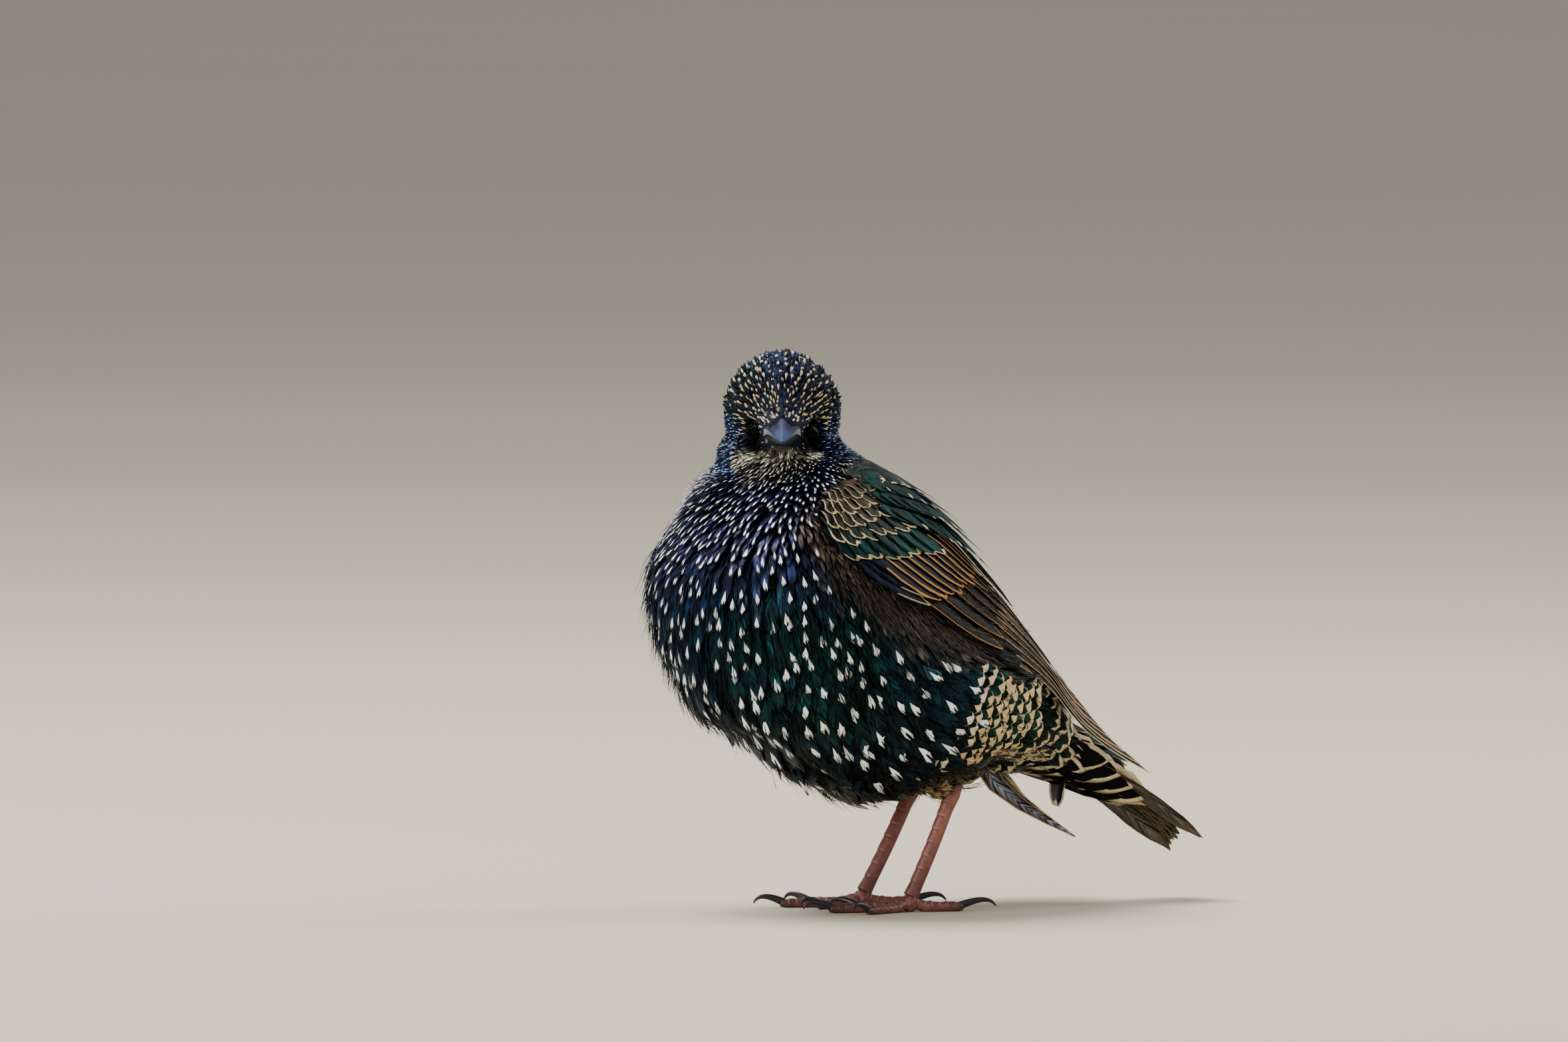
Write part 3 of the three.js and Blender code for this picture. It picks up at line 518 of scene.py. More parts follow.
# Coat. Contour feathers set evenly over the skin: tiny on the face, narrow hackles on the throat,
# longer and looser ones down the breast and belly, scaled ones behind and long ones on the back.
PURPLE, NAVY, BLUE = paint(44, 34, 66), paint(24, 40, 74), paint(24, 58, 96)
TEAL, GREEN, INK = paint(18, 70, 78), paint(22, 68, 52), paint(12, 14, 20)
ASH, EARTH = paint(92, 80, 66), paint(58, 48, 40)
WHITE, CREAM, BUFF = paint(236, 238, 236), paint(222, 216, 190), paint(206, 176, 128)
ICE, GOLD = paint(186, 202, 222), paint(208, 184, 138)
WING_EDGE = ([0.19, 0.32, 0.46, 0.64, 0.795], [27, 19, 17, 15, 8], [30, 22, 17, 10, 6])


def drift(points, scale, phase):
    """A slow wander between 0 and 1 over the body."""
    x, y, z = (points / scale).T
    wave = np.sin(x * 1.7 + phase) + np.sin(y * 2.1 + 1.3 * phase + 0.7 * x) + np.sin(z * 2.6 - phase + 0.6 * y)
    return np.clip(0.5 + wave / 4.4, 0, 1)


def mixed(base, share, other):
    return base * (1 - share)[:, None] + other * share[:, None]


def regions(points, along, angle):
    """How much of each part of the coat a place belongs to."""
    ahead, out, up = head_local(points)
    around = np.degrees(np.arcsin(np.clip(np.sin(angle), -1, 1)))
    droop = np.interp(along, WING_EDGE[0], WING_EDGE[2]) * (np.cos(angle) < 0)
    wing_low = np.interp(along, WING_EDGE[0], WING_EDGE[1]) - droop
    reach = np.sqrt(ahead**2 + out**2 + (up + 3) ** 2)
    head = smooth(reach, 24, 15) * smooth(points[:, 2], 108, 114)
    aside = np.abs(out)
    # The black lores and the ring round the eye: partly their own colour, partly painted shade round the deep-set eye.
    lores_and_eye_shade = smooth(np.hypot((aside - 7.8) / 3.5, (up + 6.5) / 3.0), 1.12, 0.92) * smooth(ahead, 4.5, 6.5)
    return {
        "head": head,
        "back": smooth(around, 48, 62) * (1 - head),
        "silky": smooth(around, wing_low - 12, wing_low - 4) * smooth(around, 62, 50)
        * smooth(along, 0.24, 0.34) * smooth(along, 0.84, 0.72),
        "rear": smooth(along, 0.44, 0.38),
        "vent": smooth(points[:, 2], 46, 40) * smooth(along, 0.5, 0.42) * smooth(along, 0.2, 0.27),
        "thigh": smooth(points[:, 2], 37, 33),
        "crown": smooth(up - 0.86 * np.maximum(aside - 7.2, 0), -4.6, -3.8) * smooth(aside, 13.6, 12) * head,
        "forehead": smooth(up, 9, 3) * smooth(ahead, 2, 6),
        "chin": smooth(up + 0.2 * aside, -7.6, -8.6) * smooth(aside, 9, 6.5) * smooth(ahead, -4, 3) * head,
        "lores_and_eye_shade": lores_and_eye_shade * head,
    }


def habit(points, along, angle):
    """Spacing, length, width and looks of the feathers at some places."""
    ahead, out, up = head_local(points)
    aside = np.abs(out)
    z = points[:, 2]
    r = regions(points, along, angle)
    height = [30, 46, 58, 75, 93, 101, 108, 116, 122]
    gap = np.interp(z, height, [4.8, 5.2, 4.8, 4.0, 3.1, 2.4, 1.95, 1.6, 1.5])
    spot_gap = np.interp(z, height, [8.2, 7.8, 6.0, 4.5, 3.5, 2.6, 2.0, 1.5, 1.4])
    stretch = np.interp(z, height, [3.4, 3.5, 3.6, 3.6, 3.6, 3.5, 3.4, 3.3, 3.0])
    breadth = np.interp(z, height, [1.3, 1.3, 1.15, 1.05, 1.0, 0.95, 0.85, 0.8, 0.8])
    spot_long = np.interp(z, height, [4.0, 4.2, 4.0, 3.8, 3.4, 2.8, 2.3, 1.7, 1.4])
    spot_half = np.interp(z, height, [2.4, 2.4, 1.9, 1.3, 0.95, 0.78, 0.64, 0.48, 0.38])
    nape = smooth(z, 104, 114)
    gap = mixed(gap[:, None], r["back"], (4.6 - 2.2 * nape)[:, None])[:, 0]
    spot_gap = mixed(spot_gap[:, None], r["back"], (5.5 - 2.6 * nape)[:, None])[:, 0]
    tailward = smooth(along, 0.32, 0.08)
    gap = np.where(r["rear"] > 0.5, 3.3 + 2.3 * tailward, gap)
    spot_gap = np.where(r["rear"] > 0.5, 0.5, spot_gap)
    stretch = np.where(r["rear"] > 0.5, 2.9, stretch)
    gap = gap * (1 - 0.35 * r["silky"]) * (1 - 0.3 * r["vent"])
    gap = gap * (1 - r["thigh"]) + 1.7 * r["thigh"]
    head_gap = np.interp(ahead, [-16, -6, 0, 8, 13], [1.5, 1.25, 1.0, 0.9, 0.8])
    gap = gap * (1 - r["head"]) + head_gap * r["head"]
    spots = 1.15 + 0.9 * r["crown"] * (1 - r["forehead"]) + 0.05 * r["crown"]
    spot_gap = spot_gap * (1 - r["head"]) + spots * r["head"]
    breadth = mixed(breadth[:, None], r["back"], np.full((len(z), 1), 1.3))[:, 0]
    breadth = np.where(r["rear"] > 0.5, 1.42, breadth) * (1 - 0.05 * r["head"] + 0.5 * r["crown"] * (1 - r["forehead"]))
    violet = drift(points, 26, 0.4) * smooth(z, 82, 104) * 0.6
    ground = mixed(np.broadcast_to(TEAL * 0.5, points.shape), drift(points, 24, 2.0), BLUE * 0.6)
    ground = mixed(ground, drift(points, 19, 4.1) * 0.4, GREEN * 0.6)
    ground = mixed(ground, smooth(z, 84, 100) * 0.6, NAVY)
    ground = mixed(ground, violet, PURPLE)
    # Darker towards the belly: partly its own blacker colour, partly painted shade for the dimmer light below the bird.
    ground = mixed(ground, smooth(z, 84, 44) * 0.75, INK)
    ground = mixed(ground, r["back"] * 0.75, GREEN * 0.8)
    ground = mixed(ground, r["rear"] * 0.85, GREEN * 0.45 + INK * 0.5)
    ground = mixed(ground, r["rear"] * tailward * 0.8, INK * 0.7)
    ground = mixed(ground, r["silky"] * 0.9, ASH * 0.9)
    ground = mixed(ground, r["vent"] * 0.7, EARTH * 0.3)
    ground = mixed(ground, r["thigh"], ASH * 0.6 + BUFF * 0.35)
    ground = mixed(ground, r["head"] * 0.85, NAVY * 0.8)
    ground = mixed(ground, r["crown"] * drift(points, 6, 1.0) * 0.8, GREEN * 0.45)
    ground = mixed(ground, r["crown"] * (1 - drift(points, 7, 3.0)) * 0.6, PURPLE * 0.6)
    pale = mixed(np.broadcast_to(WHITE, points.shape), nape * 0.45, ICE)
    pale = mixed(pale, np.maximum(r["back"] * 0.7, r["rear"] * 0.9), BUFF * 1.1)
    pale = mixed(pale, r["rear"] * tailward * 0.8, CREAM * 0.85)
    pale = mixed(pale, r["head"], ICE * 0.85)
    pale = mixed(pale, r["crown"], CREAM * 0.4 + GOLD * 0.5)
    pale = mixed(pale, r["crown"] * r["forehead"], GOLD)
    pale = mixed(pale, r["chin"], CREAM)
    spot_long = np.where(r["back"] > 0.5, 3.0 - 1.4 * nape, spot_long)
    spot_half = np.where(r["back"] > 0.5, 1.0 - 0.5 * nape, spot_half)
    spot_long = np.where(r["rear"] > 0.5, 1.9, spot_long)
    spot_half = np.where(r["rear"] > 0.5, 3.4, spot_half)
    cheek = 1 - np.maximum(r["crown"], r["chin"])
    head_long = 1.0 * cheek + (2.5 - 0.5 * r["forehead"]) * r["crown"] + 2.2 * r["chin"]
    head_half = 0.24 * cheek + (0.62 - 0.20 * r["forehead"]) * r["crown"] + 0.30 * r["chin"]
    at_head = r["head"] > 0.5
    spot_long = np.where(at_head, head_long, spot_long)
    spot_half = np.where(at_head, head_half, spot_half)
    parting = (aside < 0.7) & (ahead > 6) & (up > -2) & (up < 5)
    bill_side = smooth(np.hypot((aside - 2.3) / 1.6, (up + 2.1) / 1.2), 1.3, 0.8) * smooth(ahead, 8, 10)
    brow = smooth(np.abs(up + 4.4 - 0.86 * (aside - 7.2)), 0.8, 0.4) * smooth(aside, 6, 7) * smooth(aside, 12.5, 11)
    whiter = np.maximum(bill_side, brow * smooth(ahead, 2, 5)) * r["head"]
    pale = mixed(pale, whiter * 0.8, CREAM * 1.1)
    bare = np.maximum(np.maximum(r["silky"] > 0.6, r["vent"] > 0.5), np.maximum(r["thigh"] > 0.3, r["lores_and_eye_shade"] > 0.4))
    spot_long = np.where(bare | parting, 0, spot_long)
    spot_gap = np.where(whiter > 0.5, 0.8, spot_gap)
    ground = mixed(ground, r["chin"] * 0.6, ASH)
    # A paler band on the chin below the bill: partly its own paler ground, partly painted light filling the shade under
    # the bill.
    ground = mixed(ground, r["chin"] * smooth(up, -14.5, -10.5) * smooth(up, -7.4, -9.4) * 0.6, CREAM * 0.42)
    # Nearly black round the eye and lores: their own dark colour and painted shade round the deep-set eye.
    ground = mixed(ground, r["lores_and_eye_shade"] * 0.97, INK * 0.2)
    gloss = 0.5 * (1 - np.maximum.reduce([r["silky"], r["vent"], r["thigh"], r["lores_and_eye_shade"]])) + 0.03
    rim = np.where((r["rear"] > 0.5) & ~bare, 0.6 + 0.5 * tailward, 0.0)
    front = smooth(along, 0.3, 0.5)
    return {
        "gap": gap, "length": gap * stretch * (1 - 0.1 * r["head"]) * (1 + 0.8 * r["chin"]), "width": gap * breadth,
        "spot_gap": spot_gap,
        "ground": ground, "pale": pale, "gloss": gloss, "rim": rim,
        "spot_long": spot_long, "spot_half": spot_half, "head": r["head"], "reach": 0.6 + 6.5 * tailward,
        "ragged": np.clip(0.4 + 0.5 * smooth(z, 90, 55) + 0.3 * r["silky"] - 0.35 * r["rear"], 0, 1),
        "stand": 3.4 * smooth(z, 92, 62) * (0.3 + 0.7 * smooth(z, 38, 54)) * front * (1 - r["silky"])
        + 0.7 * r["crown"] + 0.3 * r["head"],
        "ruff": 2.6 * smooth(z, 103, 112) * smooth(z, 126, 119) * smooth(ahead, 12, 6) * smooth(ahead, -12, -7)
        * (1 - r["back"]) * smooth(out, 14, 8)
        + 0.9 * r["head"] * smooth(z, 116, 122) * smooth(ahead, 11.5, 8) * (1 - r["lores_and_eye_shade"])
        + 1.6 * r["chin"] * smooth(up, -7.6, -12.0) * smooth(up, -18, -12) * smooth(ahead, 1, 6),
    }


def feather_roots(rng):
    """Roots spread evenly over the skin, closer where the feathers are smaller."""
    wanted = areas / (0.86 * habit(centres, face_along, face_angle)["gap"] ** 2)
    count = int(wanted.sum())
    pick = rng.choice(len(areas), count, p=wanted / wanted.sum())
    share = rng.dirichlet((1, 1, 1), count)
    roots = (corners[pick] * share[..., None]).sum(1)
    face = pick
    for _ in range(7):
        gap = habit(roots, face_along[face], face_angle[face])["gap"]
        tree = KDTree(count)
        for i, p in enumerate(roots):
            tree.insert(p, i)
        tree.balance()
        moved = roots.copy()
        for i, p in enumerate(roots):
            for other, _, away in tree.find_n(p, 7)[1:]:
                if away < gap[i]:
                    moved[i] += (p - np.array(other)) * (0.22 * (gap[i] / max(away, 1e-3) - 1))
        limit = np.minimum(1, 0.4 * gap / np.maximum(np.linalg.norm(moved - roots, axis=1), 1e-6))
        moved = roots + (moved - roots) * limit[:, None]
        face = np.empty(count, int)
        for i, p in enumerate(moved):
            spot, _, face[i], _ = skin_tree.find_nearest(p)
            roots[i] = spot
    return roots, face


rng = np.random.default_rng(41)
roots, root_face = feather_roots(rng)
root_along, root_angle = face_along[root_face], face_angle[root_face]
ways = habit(roots, root_along, root_angle)
spotted = np.zeros(len(roots), bool)
near_spots = KDTree(len(roots))
for i, p in enumerate(roots):
    near_spots.insert(p, i)
near_spots.balance()
for i in rng.permutation(len(roots)):
    if ways["spot_long"][i] > 0.1:
        around = near_spots.find_range(roots[i], ways["spot_gap"][i] * 0.72)
        spotted[i] = not any(spotted[j] for _, j, _ in around)
ways["spot_long"] = np.where(spotted, ways["spot_long"], 0)
ways["rim"] = np.where(spotted, ways["rim"], 0)
ahead, out, up = head_local(roots)
eye_gap = np.minimum(*[np.linalg.norm(np.stack([
    ahead - EYE["ahead"], out - side * EYE["out"], up - EYE["up"]], 1), axis=1) for side in (1, -1)])
bill_gap = np.hypot(out / 1.2, (up + 5.3) / 0.9) + 10 * (ahead < 9.5)
laid, _ = walk(roots, ways["length"], 3)
hanging = (roots[:, 1] > 33) & (roots[:, 2] - laid[:, -1, 2] > 0.75 * ways["length"])
kept = (eye_gap > 3.5) & (bill_gap > 3.2) & ~hanging
coat_material = feather_material("plumage_oily", 0.34, 0.00025, 0.3)
BAKED_PATCH = 0.003
LONG_SHAPE = [0.30, 0.62, 0.88, 1.0, 1.0, 0.95, 0.85, 0.64, 0.10]
SCALE_SHAPE = [0.40, 0.70, 0.90, 1.0, 1.0, 1.0, 0.95, 0.82, 0.45]
SHORT_SHAPE = [0.45, 0.9, 1.0, 0.68, 0.06]
scaled = ways["rim"] > 0.1
long_ones = kept & ~scaled & (ways["gap"] >= 2.5) & (ways["head"] <= 0.5)
COAT = (
    ("coat_face", kept & (ways["head"] > 0.5), SHORT_SHAPE, 5),
    ("coat_neck", kept & ~scaled & (ways["head"] <= 0.5) & (ways["gap"] < 2.5), SHORT_SHAPE, 5),
    ("coat_breast", long_ones & (roots[:, 2] > 66), LONG_SHAPE, 7),
    ("coat_belly", long_ones & (roots[:, 2] <= 66), LONG_SHAPE, 7),
    ("coat_rear", kept & scaled, SCALE_SHAPE, 9),
)


def coat_piece(name, chosen, shape, columns):
    """All the feathers of one part of the coat."""
    w = {key: value[chosen] for key, value in ways.items()}
    count = int(chosen.sum())
    vary = rng.uniform(0.88, 1.14, (count, 5))
    vary[:, 4] = rng.uniform(0.55, 1.6, count)
    if shape is SCALE_SHAPE:
        vary[:, :4] = 1 + (vary[:, :4] - 1) * 0.3
        w["ragged"] = w["ragged"] * 0.2
    length = w["length"] * vary[:, 0]
    rows = len(shape)
    places, normals = walk(roots[chosen], length, rows)
    share = np.linspace(0, 1, rows)
    depth = coat_depth(roots[chosen])
    rise = depth[:, None] * (1 - (1 - share) ** 1.7) - 0.35
    loose = w["stand"] * rng.uniform(0, 1, count) ** 2 + 0.4 * (w["spot_long"] > 0) * (w["head"] < 0.5)
    rise = rise + (depth * 0.12 * rng.uniform(-0.6, 1.3, count) + loose)[:, None] * share**2.5
    rise = rise + w["ruff"][:, None] * smooth(share, 0, 0.7)
    places = places + normals * rise[..., None]
    aside = rng.normal(0, 0.02 if shape is SCALE_SHAPE else 0.05, (count, 1)) * length[:, None] * share**2
    cross = unit(np.cross(normals, np.gradient(places, axis=1)))
    places = places + cross * aside[..., None]
    half = w["width"][:, None] * vary[:, 1:2] / 2 * np.array(shape) * 1.12
    arch = 0.10 / np.maximum(w["width"], 1.0)
    made = vanes(places, normals, half, columns, arch, 0.05 + 0.012 * length, w["ragged"], rng)
    ones = rng.uniform(0, 1, count)
    spot = np.stack([w["spot_long"] * vary[:, 2], w["spot_half"] * vary[:, 3], w["rim"], w["reach"]], 1) / 10
    looks = {
        "Ground": np.concatenate([w["ground"] * vary[:, 4:5], ones[:, None]], 1),
        "Spot": spot,
        "Pale": np.concatenate([w["pale"], w["gloss"][:, None]], 1),
    }
    if name == "coat_face":
        a, o, u = ahead[chosen], out[chosen], up[chosen]
        patches = np.stack([0.5 + np.arctan2(o, u) / (2 * np.pi + 0.1), 0.5 - a / 44], 1)
    else:
        patches = np.stack([root_angle[chosen] / (2 * np.pi + 0.1) + 0.005, root_along[chosen] * 0.98], 1)
    obj = feather_object(name, made, looks, patches, BAKED_PATCH, coat_material)
    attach(obj, "root")
    return obj


coat = [coat_piece(*piece) for piece in COAT]
print("coat", [(o.name, len(o.data.polygons)) for o in coat], len(roots))

# Loose barbs. Fine hair-like ends of feathers that blur the coat's edge on breast, flank and belly.
WISPS = {"count": 7000, "long": (5.0, 10.0), "half": 0.10, "low": 0.0, "high": 1.0}


def loose_barbs(name, count, seed):
    made_rng = np.random.default_rng(seed)
    pick = made_rng.choice(len(areas), count, p=wisp_share / wisp_share.sum())
    share = made_rng.dirichlet((1, 1, 1), count)
    from_skin = (corners[pick] * share[..., None]).sum(1)
    length = made_rng.uniform(*WISPS["long"], count)
    places, normals = walk(from_skin, length, 5)
    run = np.linspace(0, 1, 5)
    depth = coat_depth(from_skin)[:, None] + made_rng.uniform(WISPS["low"], WISPS["high"], (count, 1))
    places = places + normals * (depth * (0.75 + 0.25 * run) + made_rng.uniform(0, 1.6, (count, 1)) * run**2)[..., None]
    places = places + made_rng.normal(0, 0.8, (count, 1, 3)) * run[:, None] ** 1.5
    outline = np.full((count, 1), WISPS["half"]) * np.array([0.6, 1.0, 1.0, 0.7, 0.1])
    made = vanes(places, normals, outline, 3, np.zeros(count), np.full(count, 0.12), np.zeros(count), made_rng)
    looks_at = habit(from_skin, face_along[pick], face_angle[pick])
    one = made_rng.uniform(0, 1, (count, 1))
    dim = made_rng.uniform(0.4, 1.6, (count, 1))
    looks = {
        "Ground": np.concatenate([looks_at["ground"] * dim, one], 1),
        "Spot": np.concatenate([np.zeros((count, 3)), one], 1),
        "Pale": np.concatenate([looks_at["pale"], looks_at["gloss"][:, None]], 1),
    }
    patches = np.stack([face_angle[pick] / (2 * np.pi + 0.1) + 0.005, face_along[pick] * 0.98], 1)
    obj = feather_object(name, made, looks, patches, BAKED_PATCH, coat_material)
    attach(obj, "root")


wisp_ways = regions(centres, face_along, face_angle)
wisp_share = areas * smooth(centres[:, 2], 100, 80) * (1 - wisp_ways["head"]) * (1 - 0.7 * wisp_ways["rear"])
wisp_share = wisp_share * (1 - wisp_ways["back"]) * (0.7 + 1.8 * wisp_ways["silky"])
loose_barbs("coat_loose_barbs", WISPS["count"], 5)

# Bare skin under the coat, with the coat's own colours where it shows between feathers.
skin_material, tree, shader = new_material("skin_under_coat")
ground = add_node(tree, "ShaderNodeAttribute", attribute_name="Ground")
pale = add_node(tree, "ShaderNodeAttribute", attribute_name="Pale")
place = add_node(tree, "ShaderNodeTexCoord").outputs["Object"]
flecks = add_node(tree, "ShaderNodeTexVoronoi", {"Vector": place, "Scale": 320.0})
down = add_node(tree, "ShaderNodeTexNoise", {"Vector": place, "Scale": 1400.0, "Detail": 5.0})
fleck = sums(tree, "MULTIPLY", ramp(tree, flecks.outputs["Distance"], 0.3, 0.15), pale.outputs["Alpha"])
shade = sums(tree, "MULTIPLY_ADD", down.outputs[0], 1.0, 0.1)
dim = add_node(tree, "ShaderNodeCombineColor", {0: shade, 1: shade, 2: shade}).outputs[0]
colour = blend(tree, 1.0, ground.outputs["Color"], dim, "MULTIPLY")
colour = blend(tree, sums(tree, "MULTIPLY", fleck, 0.5), colour, pale.outputs["Color"])
tree.links.new(colour, shader.inputs["Base Color"])
shader.inputs["Roughness"].default_value = 0.75
bump = add_node(tree, "ShaderNodeBump", {"Height": down.outputs[0], "Strength": 0.6, "Distance": 0.0003})
tree.links.new(bump.outputs[0], shader.inputs["Normal"])
skin = mesh_object("skin", skin_points, skin_faces, skin_material)
point_face = np.zeros(len(skin_points), int)
point_face[skin_faces.ravel()] = np.repeat(np.arange(len(skin_faces)), 3)
under = habit(skin_points, face_along[point_face], face_angle[point_face])
spotted = (under["spot_long"] > 0.1).astype(float)
add_colours(skin, "Ground", np.concatenate([under["ground"] * 0.6, spotted[:, None]], 1))
add_colours(skin, "Pale", np.concatenate([under["pale"], spotted[:, None]], 1))
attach(skin, "root")
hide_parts(*FLESH)

# Wings. Both are folded along the flanks, the right one drooping. Stiff flight feathers lie in
# tiers over a thin arm: primaries and secondaries, tertials, then their coverts, rimmed with buff.
WING_BED = (
    (0.88, 14, 54, 6, 1.4, -0.4),
    (0.795, 8, 44, 6, 0.6, -1.4),
    (0.64, 15, 66, 10, 0.8, -1.4),
    (0.46, 17, 76, 17, 0.6, -1.3),
    (0.32, 19, 80, 22, 0.3, 0.0),
    (0.19, 27, 80, 30, 0.8, 1.2),
)
WING_NECK = {1: (-47, 18.5, 52, 5.5), -1: (-46, 24, 34.5, 6)}
WING_TIP = {1: (-68, 16, 35), -1: (-67, 22, 16)}


def centripetal(points, share):
    """A centripetal spline through points, at shares from 0 to 1."""
    last = len(points) - 1
    p = np.concatenate([[2 * points[0] - points[1]], points, [2 * points[-1] - points[-2]]])
    q = np.clip(share, 0, 1) * last
    i = np.minimum(q.astype(int), last - 1)
    w = (q - i)[..., None]
    p0, p1, p2, p3 = p[i], p[i + 1], p[i + 2], p[i + 3]
    d0, d1, d2 = [((b - a) ** 2).sum(-1, keepdims=True) ** 0.25 for a, b in ((p0, p1), (p1, p2), (p2, p3))]
    t1 = ((p1 - p0) / d0 - (p2 - p0) / (d0 + d1) + (p2 - p1) / d1) * d1
    t2 = ((p2 - p1) / d1 - (p3 - p1) / (d1 + d2) + (p3 - p2) / d2) * d1
    return p1 + t1 * w + (-3 * p1 + 3 * p2 - 2 * t1 - t2) * w**2 + (2 * p1 - 2 * p2 + t1 + t2) * w**3


def wing_lines(side):
    """The lower, middle and upper line along one wing's bed, before the shift."""
    lines = []
    for share in (0.0, 0.5, 1.0):
        stops = []
        for along, low, high, droop, low_lift, high_lift in WING_BED:
            angle = math.radians(low + (high - low) * share - (droop if side < 0 else 0))
            stops.append(on_trunk(along, angle, low_lift + (high_lift - low_lift) * share) - SHIFT)
        f, o, u, half = WING_NECK[side]
        stops.append(np.array([o + (0.5 - share) * 6, -f - share * 1.5, u + (share * 2 - 1) * half]))
        f, o, u = WING_TIP[side]
        stops.append(np.array([o, -f, u + (share - 0.5) * 1.2]))
        lines.append(np.array(stops))
    return lines


def on_wing(side, lines, along, across):
    """Places on a wing's bed, from 0 at the bend to 1 at the tip and 0 to 1 up across it."""
    a, m, b = [centripetal(line, (along * 6 + 1) / 7) for line in lines]
    v = np.asarray(across)[..., None]
    place = a * 2 * (v - 0.5) * (v - 1) + m * 4 * v * (1 - v) + b * 2 * v * (v - 0.5)
    return place * [side, 1, 1] + SHIFT


def wing_frame(side, lines, along, across):
    """Places on the bed with the outward normal and the way up across it."""
    a = np.clip(along, -0.14, 0.955)
    lengthwise = on_wing(side, lines, a + 0.01, across) - on_wing(side, lines, a - 0.01, across)
    crosswise = on_wing(side, lines, a, across + 0.02) - on_wing(side, lines, a, across - 0.02)
    normal = unit(np.cross(lengthwise, crosswise)) * side
    return on_wing(side, lines, along, across), normal, unit(crosswise)


BLADE = [0.35, 0.55, 0.75, 0.9, 1.0, 1.0, 0.97, 0.9, 0.8, 0.63, 0.4, 0.08]
ROUND = [0.4, 0.65, 0.85, 0.96, 1.0, 1.0, 0.97, 0.88, 0.68, 0.3]
POINTED = [0.4, 0.7, 0.92, 1.0, 1.0, 0.96, 0.86, 0.70, 0.46, 0.12]
UMBER, SOOT, RUST = paint(70, 55, 44), paint(17, 16, 20), paint(190, 146, 98)
SLATE, STRAW = paint(16, 20, 36), paint(222, 204, 166)
MOSS = GREEN * 0.20 + TEAL * 0.18
